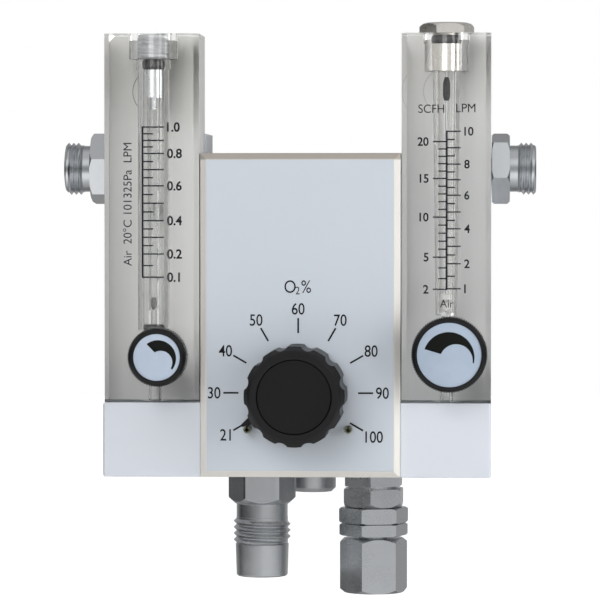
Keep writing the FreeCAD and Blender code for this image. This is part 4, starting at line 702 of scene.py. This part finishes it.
print("stage: clear blocks")
# Sheets inside the clear blocks; their tones for each side and height are painted light and shade
blockSkinAndShade = {
    "thick": 0.03, "corner": 1.5, "ahead": 1.6, "ringRadius": 6.8, "ringWidth": 0.2, "ringSide": 3.6,
    "rough": 0.6, "spread": 0.12, "clouds": 300.0, "grains": 2600.0, "stretch": (1, 1, 0.02),
    "depth": 0.00001, "edge": 0.0001,
    "places": {"foot": (0.0,), "middle": (0.3, 0.62), "head": (0.95,)},
    "left": {"ring": (0.2, 0.17, 0.14), "head": (0.72, 0.715, 0.69), "middle": (0.87, 0.87, 0.86),
             "foot": (0.77, 0.77, 0.76)},
    "right": {"ring": (0.6, 0.58, 0.55), "head": (0.85, 0.845, 0.83), "middle": (0.71, 0.715, 0.71),
              "foot": (0.9, 0.91, 0.9)},
}


# Milled plastic, dull where the front is polished, with the port's edge showing. Its tones by height,
# different for each side, are painted light and shade
def milledBack(side, limits, centre):
    tones, radius = blockSkinAndShade[side], blockSkinAndShade["ringRadius"] * mm
    material, tree, shader = newMaterial(side + "MilledShadedBack", tones["middle"], blockSkinAndShade["rough"])
    point = objectPoint(tree)
    stops = [(place, tones[tone]) for tone, places in blockSkinAndShade["places"].items() for place in places]
    shade = addRamp(tree, mapValue(tree, partsOf(tree, point)[2], limits), stops, "EASE")
    flat = addNode(tree, "ShaderNodeMapping", {"Vector": point, "Scale": (1, 0, 1)}).outputs[0]
    ring = addCrescent(tree, flat, centre, radius, centre, radius - blockSkinAndShade["ringWidth"] * mm, (-1, 0, 0),
                       blockSkinAndShade["ringSide"] * mm - centre[0])
    milled = addNode(tree, "ShaderNodeMapping", {"Vector": point, "Scale": blockSkinAndShade["stretch"]}).outputs[0]
    colour, height = addGrain(tree, shader, milled, {
        "Color": mixColours(tree, ring, shade, (*tones["ring"], 1)), "Spread": blockSkinAndShade["spread"],
        "Roughness": blockSkinAndShade["rough"], "Cloud Size": blockSkinAndShade["clouds"],
        "Grain Size": blockSkinAndShade["grains"]})
    paint(tree, shader, colour)
    addRelief(tree, shader, height, blockSkinAndShade["depth"], blockSkinAndShade["edge"])
    return material


# Thin plates inside a clear block, each with an outline and the way to its other face
def makeSkin(name, material, *plates):
    work = bmesh.new()
    for outline, move in plates:
        rings = [[work.verts.new(spot + shift) for spot in outline] for shift in (Vector(), Vector(move))]
        for ring in rings:
            work.faces.new(ring)
        joinRings(work, *rings)
    bmesh.ops.recalc_face_normals(work, faces=work.faces)
    piece = newPiece(name, takeMesh(work, name), material)
    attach(piece, "blender_body")


# The back of a clear block and its side towards the case get the milled sheet with its painted light and
# shade; its outer side gets a half-clear grey sheet of painted shade
def dullBlock(side):
    low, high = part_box(side + "_meter_block")
    thick, corner = blockSkinAndShade["thick"] * mm, blockSkinAndShade["corner"] * mm
    x0, x1, z0, z1 = low.x + thick, high.x - thick, low.z + thick, high.z - thick
    ahead, back = low.y + blockSkinAndShade["ahead"] * mm, high.y - thick
    front, shoulder = back - thick, z1 - corner
    outline = [(x0, z0), (x1, z0), (x1, shoulder), (x1 - corner, z1), (x0 + corner, z1), (x0, shoulder)]
    inner, outer, inward = (x1, x0, -thick) if side == "left" else (x0, x1, thick)

    def flank(x, end):
        return [Vector((x, y, z)) for y, z in ((ahead, z0), (end, z0), (end, shoulder), (ahead, shoulder))]

    centre = ((low.x + high.x) / 2, 0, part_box("port_elbows")[1].z - blockSkinAndShade["ringRadius"] * mm)
    makeSkin(side + "BlockBack", milledBack(side, (z0, z1), centre),
             ([Vector((x, front, z)) for x, z in outline], (0, thick, 0)),
             (flank(inner, front), (inward, 0, 0)))
    makeSkin(side + "BlockFlank", sideShadeSheet, (flank(outer, back), (-inward, 0, 0)))


dullBlock("left")
dullBlock("right")

print("stage: flowmeter knobs")
smallKnob = {"toothHeight": 0.4, "edge": 0.7, "pocket": 1.6, "stem": 1.62, "grip": 5.55, "segments": 144,
             "rim": ((0.25, 0.3), (0.7, 0.05), (0.9, 0.0)), "capGap": 0.05, "capEdge": 0.2,
             "left": {"teeth": 72, "cap": 6.6}, "right": {"teeth": 92, "cap": 9.05}}


def makeSmallKnob(side):
    shape = smallKnob
    edge, stem, grip = (shape[key] for key in ("edge", "stem", "grip"))
    node = side + "_valve_knob"
    low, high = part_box(node)
    middle = boxCentre(node)
    length = (high.y - low.y) / mm
    root = (high.z - low.z) / 2 / mm - shape["toothHeight"]
    cap = shape[side]["cap"] + shape["capGap"]
    floor = length - shape["pocket"]
    rows = [(stem, 0), (root - edge, 0), (root, edge), (root, length - edge),
            *((root - inset, length - drop) for inset, drop in shape["rim"]),
            (cap + shape["capEdge"], length), (cap, length - shape["capEdge"]), (cap, floor), (0, floor),
            (0, grip), (stem, grip), (stem, 0)]
    piece = turnPiece(side + "ValveGrip", rows, (middle.x, high.y, middle.z), "front", shape["segments"],
                      smallKnobBlack)
    runTree(piece, teethTree, {
        "Count": shape[side]["teeth"], "Root": root * mm, "Height": shape["toothHeight"] * mm,
        "Length": (length - 2 * edge) * mm, "Place": middle, "Facing": (quarter, 0, 0),
        "Material": smallKnobBlack})
    finishPiece(piece, node, side + "_valve")


makeSmallKnob("left")
makeSmallKnob("right")

print("stage: print")
printDepth = 0.04


# A flat word of a height in millimetres, made narrower, with its middle or an end at a place
def makeWord(words, height, place, narrow=0.85, align="CENTER", turn=0.0, bold=0.0):
    curve = bpy.data.curves.new("word", "FONT")
    curve.body = words
    curve.size = 1.0
    curve.offset = bold
    curve.extrude = 0.5
    text = bpy.data.objects.new("word", curve)
    scene.collection.objects.link(text)
    mesh = evaluatedMesh(text)
    bpy.data.objects.remove(text)
    corners = [vertex.co for vertex in mesh.vertices]
    low = [min(corner[axis] for corner in corners) for axis in range(2)]
    high = [max(corner[axis] for corner in corners) for axis in range(2)]
    scale = height / (high[1] - low[1])
    anchor = {"LEFT": low[0], "CENTER": (low[0] + high[0]) / 2, "RIGHT": high[0]}[align]
    for step in (Matrix.Translation((-anchor, -(low[1] + high[1]) / 2, 0)),
                 Matrix.Diagonal((scale * narrow, scale, printDepth, 1)), Matrix.Rotation(turn, 4, "Z"),
                 Matrix.Rotation(quarter, 4, "X"), Matrix.Translation(place), Matrix.Scale(mm, 4)):
        mesh.transform(step)
    return mesh


# Lines as (middle across, middle up, span, turn, stroke), in millimetres on the plane at y
def makeLines(lines, y):
    mesh = bpy.data.meshes.new("lines")
    mesh.from_pydata([(line[0] * mm, y * mm, line[1] * mm) for line in lines], [], [])
    for name, index, scale in (("span", 2, mm), ("turn", 3, 1.0), ("stroke", 4, mm)):
        attribute = mesh.attributes.new(name, "FLOAT", "POINT")
        attribute.data.foreach_set("value", [line[index] * scale for line in lines])
    piece = newPiece("lines", mesh)
    runTree(piece, lineTree, {"Depth": printDepth * mm, "Material": printInk})
    made = piece.data
    bpy.data.objects.remove(piece)
    return made


# The plane on which a node carries its print, in millimetres
def printPlane(node):
    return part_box(node)[0].y / mm - printDepth / 2


def makePrint(name, meshes):
    work = bmesh.new()
    for mesh in meshes:
        work.from_mesh(mesh)
    piece = newPiece(name, takeMesh(work, name), printInk)
    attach(piece, "blender_body")


dial = {"stroke": 0.5, "tickInner": 17.0, "tickOuter": 21.3, "numbers": 23.9, "wideNumbers": 24.9,
        "height": 3.3, "narrow": 0.84, "bold": 0.008, "step": 30.0, "first": 210.0,
        "words": ["21", "30", "40", "50", "60", "70", "80", "90", "100"],
        "title": [("O", 3.6, -3.9, 30.2), ("2", 2.2, -0.75, 29.1), ("%", 3.6, 0.9, 30.2)]}


def makeDial():
    pivot = joints["oxygen_control"]["pos_m"]
    across, rise = pivot[0] / mm, pivot[2] / mm
    face = printPlane("face_label")
    middle = (dial["tickInner"] + dial["tickOuter"]) / 2
    lines, meshes = [], []
    for number, words in enumerate(dial["words"]):
        angle = math.radians(dial["first"] - dial["step"] * number)
        lines.append((across + middle * math.cos(angle), rise + middle * math.sin(angle),
                      dial["tickOuter"] - dial["tickInner"], -angle, dial["stroke"]))
        reach = dial["wideNumbers" if len(words) > 2 else "numbers"]
        spot = (across + reach * math.cos(angle), face, rise + reach * math.sin(angle))
        meshes.append(makeWord(words, dial["height"], spot, narrow=dial["narrow"], bold=dial["bold"]))
    meshes.append(makeLines(lines, face))
    for words, height, left, above in dial["title"]:
        meshes.append(makeWord(words, height, (across + left, face, rise + above), align="LEFT"))
    makePrint("dialPrint", meshes)


makeDial()

# Both scales have an upright line, which is a little wider than their marks
uprightStroke = 1.2
leftScale = {"line": -44.95, "long": -38.85, "short": -41.97, "stroke": 0.4,
             "marks": {1.0: 53.5, 0.9: 49.7, 0.8: 46.0, 0.7: 41.4, 0.6: 36.8, 0.5: 31.85, 0.4: 26.9,
                       0.3: 22.15, 0.2: 17.4, 0.1: 10.8},
             "words": [1.0, 0.8, 0.6, 0.4, 0.2, 0.1],
             "numbers": {"at": -37.95, "height": 2.75, "narrow": 0.96, "bold": 0.025},
             "title": {"words": "Air  20°C 101325Pa  LPM", "height": 2.5, "narrow": 0.99,
                       "at": (-49.3, 31.5)}}


def uprightLine(line, bottom, top, stroke):
    return line, (top + bottom) / 2, top - bottom + stroke, quarter, stroke * uprightStroke


def makeLeftScale():
    face = printPlane("left_meter_block")
    marks, numbers, title = (leftScale[key] for key in ("marks", "numbers", "title"))
    rises = sorted(marks.values())
    middles = [(first + second) / 2 for first, second in zip(rises, rises[1:])]
    line, stroke = leftScale["line"], leftScale["stroke"]
    lines = [uprightLine(line, rises[0], rises[-1], stroke)]
    for end, places in ((leftScale["long"], rises), (leftScale["short"], middles)):
        lines += [((line + end) / 2, rise, end - line, 0.0, stroke) for rise in places]
    meshes = [makeLines(lines, face)]
    for value in leftScale["words"]:
        meshes.append(makeWord(f"{value:.1f}", numbers["height"], (numbers["at"], face, marks[value]),
                               narrow=numbers["narrow"], align="LEFT", bold=numbers["bold"]))
    across, rise = title["at"]
    meshes.append(makeWord(title["words"], title["height"], (across, face, rise), narrow=title["narrow"],
                           turn=quarter))
    makePrint("leftScalePrint", meshes)


makeLeftScale()

rightScale = {"line": 41.55, "stroke": 0.38, "height": 2.5, "narrow": 0.95, "bold": 0.02,
              "left": {"long": 37.6, "short": 39.15, "numbers": 36.4, "align": "RIGHT", "step": 1.0,
                       "major": 5.0, "marks": {20: 49.3, 15: 38.85, 10: 27.9, 5: 16.55, 2: 7.45}},
              "right": {"long": 45.5, "short": 43.85, "numbers": 46.5, "align": "LEFT", "step": 0.5,
                        "major": 1.0, "marks": {10: 52.2, 8: 42.9, 6: 34.1, 4: 24.6, 2: 14.7, 1: 7.6}},
              "titles": [("SCFH", 2.4, 37.15, 58.6), ("LPM", 2.4, 46.9, 58.8), ("Air", 2.2, 41.6, 3.4)]}


def scaleRise(marks, value):
    known = sorted(marks)
    above = next(mark for mark in known if mark >= value)
    below = max((mark for mark in known if mark <= value), default=above)
    share = 0 if above == below else (value - below) / (above - below)
    return marks[below] + (marks[above] - marks[below]) * share


def makeRightScale():
    face = printPlane("right_meter_block")
    line, stroke, narrow = (rightScale[key] for key in ("line", "stroke", "narrow"))
    lines = [uprightLine(line, rightScale["left"]["marks"][2], rightScale["right"]["marks"][10], stroke)]
    meshes = []
    for scale in (rightScale["left"], rightScale["right"]):
        marks = scale["marks"]
        low, high = min(marks), max(marks)
        for number in range(round((high - low) / scale["step"]) + 1):
            value = low + number * scale["step"]
            end = scale["long" if value % scale["major"] == 0 or value == low else "short"]
            lines.append(((line + end) / 2, scaleRise(marks, value), abs(end - line), 0.0, stroke))
        for value, rise in marks.items():
            meshes.append(makeWord(str(value), rightScale["height"], (scale["numbers"], face, rise),
                                   narrow=narrow, align=scale["align"], bold=rightScale["bold"]))
    meshes.append(makeLines(lines, face))
    for words, height, across, rise in rightScale["titles"]:
        meshes.append(makeWord(words, height, (across, face, rise), narrow=narrow))
    makePrint("rightScalePrint", meshes)


makeRightScale()

print("stage: light and camera")
view = {"aim": (0, -0.096, 0.0044), "distance": 1.0, "azimuth": 3.0, "height": 1.5, "lens": 211.5,
        "sensor": 36, "near": 0.05}


def makeCamera():
    turn, rise = math.radians(view["azimuth"]), math.radians(view["height"])
    back = Vector((math.sin(turn) * math.cos(rise), -math.cos(turn) * math.cos(rise), math.sin(rise)))
    camera = bpy.data.objects.new("camera", bpy.data.cameras.new("camera"))
    camera.data.lens = view["lens"]
    camera.data.sensor_width = view["sensor"]
    camera.data.clip_start = view["near"]
    camera.location = Vector(view["aim"]) + back * view["distance"]
    camera.rotation_euler = (-back).to_track_quat("-Z", "Y").to_euler()
    scene.collection.objects.link(camera)
    scene.camera = camera


# Each lamp's place, width and power. Reflections show the tent instead.
lamps = {"keyLamp": ((-0.35, -1.5, 0.6), 1.0, 13.0), "sideLamp": ((1.1, -0.6, 0.15), 0.9, 9.5),
         "backLamp": ((-0.5, 1.5, 0.5), 1.0, 7.0)}
lampAim = (0, -0.06, 0)


def addLamp(name, place, size, power):
    lamp = bpy.data.lights.new(name, "AREA")
    lamp.shape = "RECTANGLE"
    lamp.size = lamp.size_y = size
    lamp.energy = power
    made = bpy.data.objects.new(name, lamp)
    made.location = place
    made.rotation_euler = (Vector(lampAim) - Vector(place)).to_track_quat("-Z", "Y").to_euler()
    made.visible_glossy = False
    scene.collection.objects.link(made)


# 1 where a ray comes straight from the camera, a reflection or glass
def seenFlag(tree):
    path = addNode(tree, "ShaderNodeLightPath").outputs
    some = calculate(tree, "MAXIMUM", path["Is Camera Ray"], path["Is Glossy Ray"])
    return calculate(tree, "MAXIMUM", some, path["Is Transmission Ray"])


studio = {"ring": 0.4, "above": 0.08, "fade": (0.1, 0.8), "floorGlow": 0.85, "floorColour": (0.8, 0.8, 0.8),
          "floorHalf": 6.0, "floorLevel": -0.35}


# White where it is seen, and for the light that it throws dimmer above than all round
def makeWorld():
    world = bpy.data.worlds.new("studio")
    scene.world = world
    world.use_nodes = True
    tree = world.node_tree
    back = tree.nodes["Background"]
    rise = partsOf(tree, addNode(tree, "ShaderNodeTexCoord").outputs["Generated"])[2]
    glow = mapValue(tree, rise, studio["fade"], (studio["ring"], studio["above"]))
    strength = addNode(tree, "ShaderNodeMix", {0: seenFlag(tree), 2: glow, 3: 1.0})
    tree.links.new(strength.outputs[0], back.inputs["Strength"])
    back.inputs["Color"].default_value = (1, 1, 1, 1)


def makeFloor():
    mesh = bpy.data.meshes.new("floor")
    half, level = studio["floorHalf"], studio["floorLevel"]
    mesh.from_pydata([(x * half, y * half, level) for x, y in ((-1, -1), (1, -1), (1, 1), (-1, 1))],
                     [], [(0, 1, 2, 3)])
    material, tree, shader = newMaterial("floorPaper", studio["floorColour"], 0.7,
                                         **{"Emission Color": (1, 1, 1, 1)})
    glow = calculate(tree, "MULTIPLY", seenFlag(tree), studio["floorGlow"])
    tree.links.new(glow, shader.inputs["Emission Strength"])
    newPiece("floor", mesh, material)


# Grey cloth round the object, seen in reflections alone. A ramp gives its brightness for each direction
# round the object, and two more for each height in front and behind.
tent = {
    "radius": 2.4, "floor": -0.34, "segments": (48, 32), "steep": (0.16, 0.36), "past": (-0.2, 0.4),
    "round": [(0.0, 0.5), (0.08, 0.4), (0.14, 0.24), (0.2, 0.02), (0.33, 0.04), (0.42, 0.22), (0.475, 0.32),
              (0.52, 0.52), (0.6, 0.52), (0.66, 0.38), (0.72, 0.25), (0.81, 0.05), (0.88, 0.4), (1.0, 0.5)],
    "front": [(0.0, 0.3), (0.2, 0.7), (0.3, 1.2), (0.4, 1.2), (0.6, 0.9), (0.7, 1.0), (0.8, 0.6),
              (1.0, 0.65)],
    "behind": [(0.0, 0.3), (0.2, 0.2), (0.4, 0.45), (0.5, 0.6), (0.6, 0.4), (0.8, 0.25), (1.0, 0.6)],
}


def makeTent():
    work = bmesh.new()
    bmesh.ops.create_uvsphere(work, u_segments=tent["segments"][0], v_segments=tent["segments"][1],
                              radius=tent["radius"])
    for corner in work.verts:
        corner.co.z = max(corner.co.z, tent["floor"])
    material = bpy.data.materials.new("tentCloth")
    material.use_nodes = True
    tree = material.node_tree
    tree.nodes.remove(tree.nodes["Principled BSDF"])

    def greys(value, name):
        return addRamp(tree, value, [(place, (level,) * 3) for place, level in tent[name]])

    outward = addNode(tree, "ShaderNodeVectorMath", {0: objectPoint(tree)}, operation="NORMALIZE").outputs[0]
    parts = partsOf(tree, outward)
    ahead = calculate(tree, "MULTIPLY", parts[1], -1.0)
    turn = calculate(tree, "MULTIPLY_ADD", calculate(tree, "ARCTAN2", parts[0], ahead), 0.5 / math.pi, 0.5)
    rise = calculate(tree, "MULTIPLY_ADD", calculate(tree, "ARCSINE", parts[2]), 1 / math.pi, 0.5)
    steep = mapValue(tree, calculate(tree, "ABSOLUTE", parts[2]), tent["steep"], smooth=True)
    past = mapValue(tree, parts[1], tent["past"], smooth=True)
    heights = mixColours(tree, past, greys(rise, "front"), greys(rise, "behind"))
    glow = mixColours(tree, steep, greys(turn, "round"), heights)
    cloth = addNode(tree, "ShaderNodeEmission", {"Color": glow})
    tree.links.new(cloth.outputs[0], tree.nodes["Material Output"].inputs["Surface"])
    piece = newPiece("tent", takeMesh(work, "tent"), material)
    piece.visible_camera = piece.visible_diffuse = piece.visible_transmission = False
    piece.visible_shadow = piece.visible_volume_scatter = False


makeCamera()
for name, (place, size, power) in lamps.items():
    addLamp(name, place, size, power)
makeWorld()
makeFloor()
makeTent()
scene.view_settings.view_transform = "Standard"

print("stage: done")
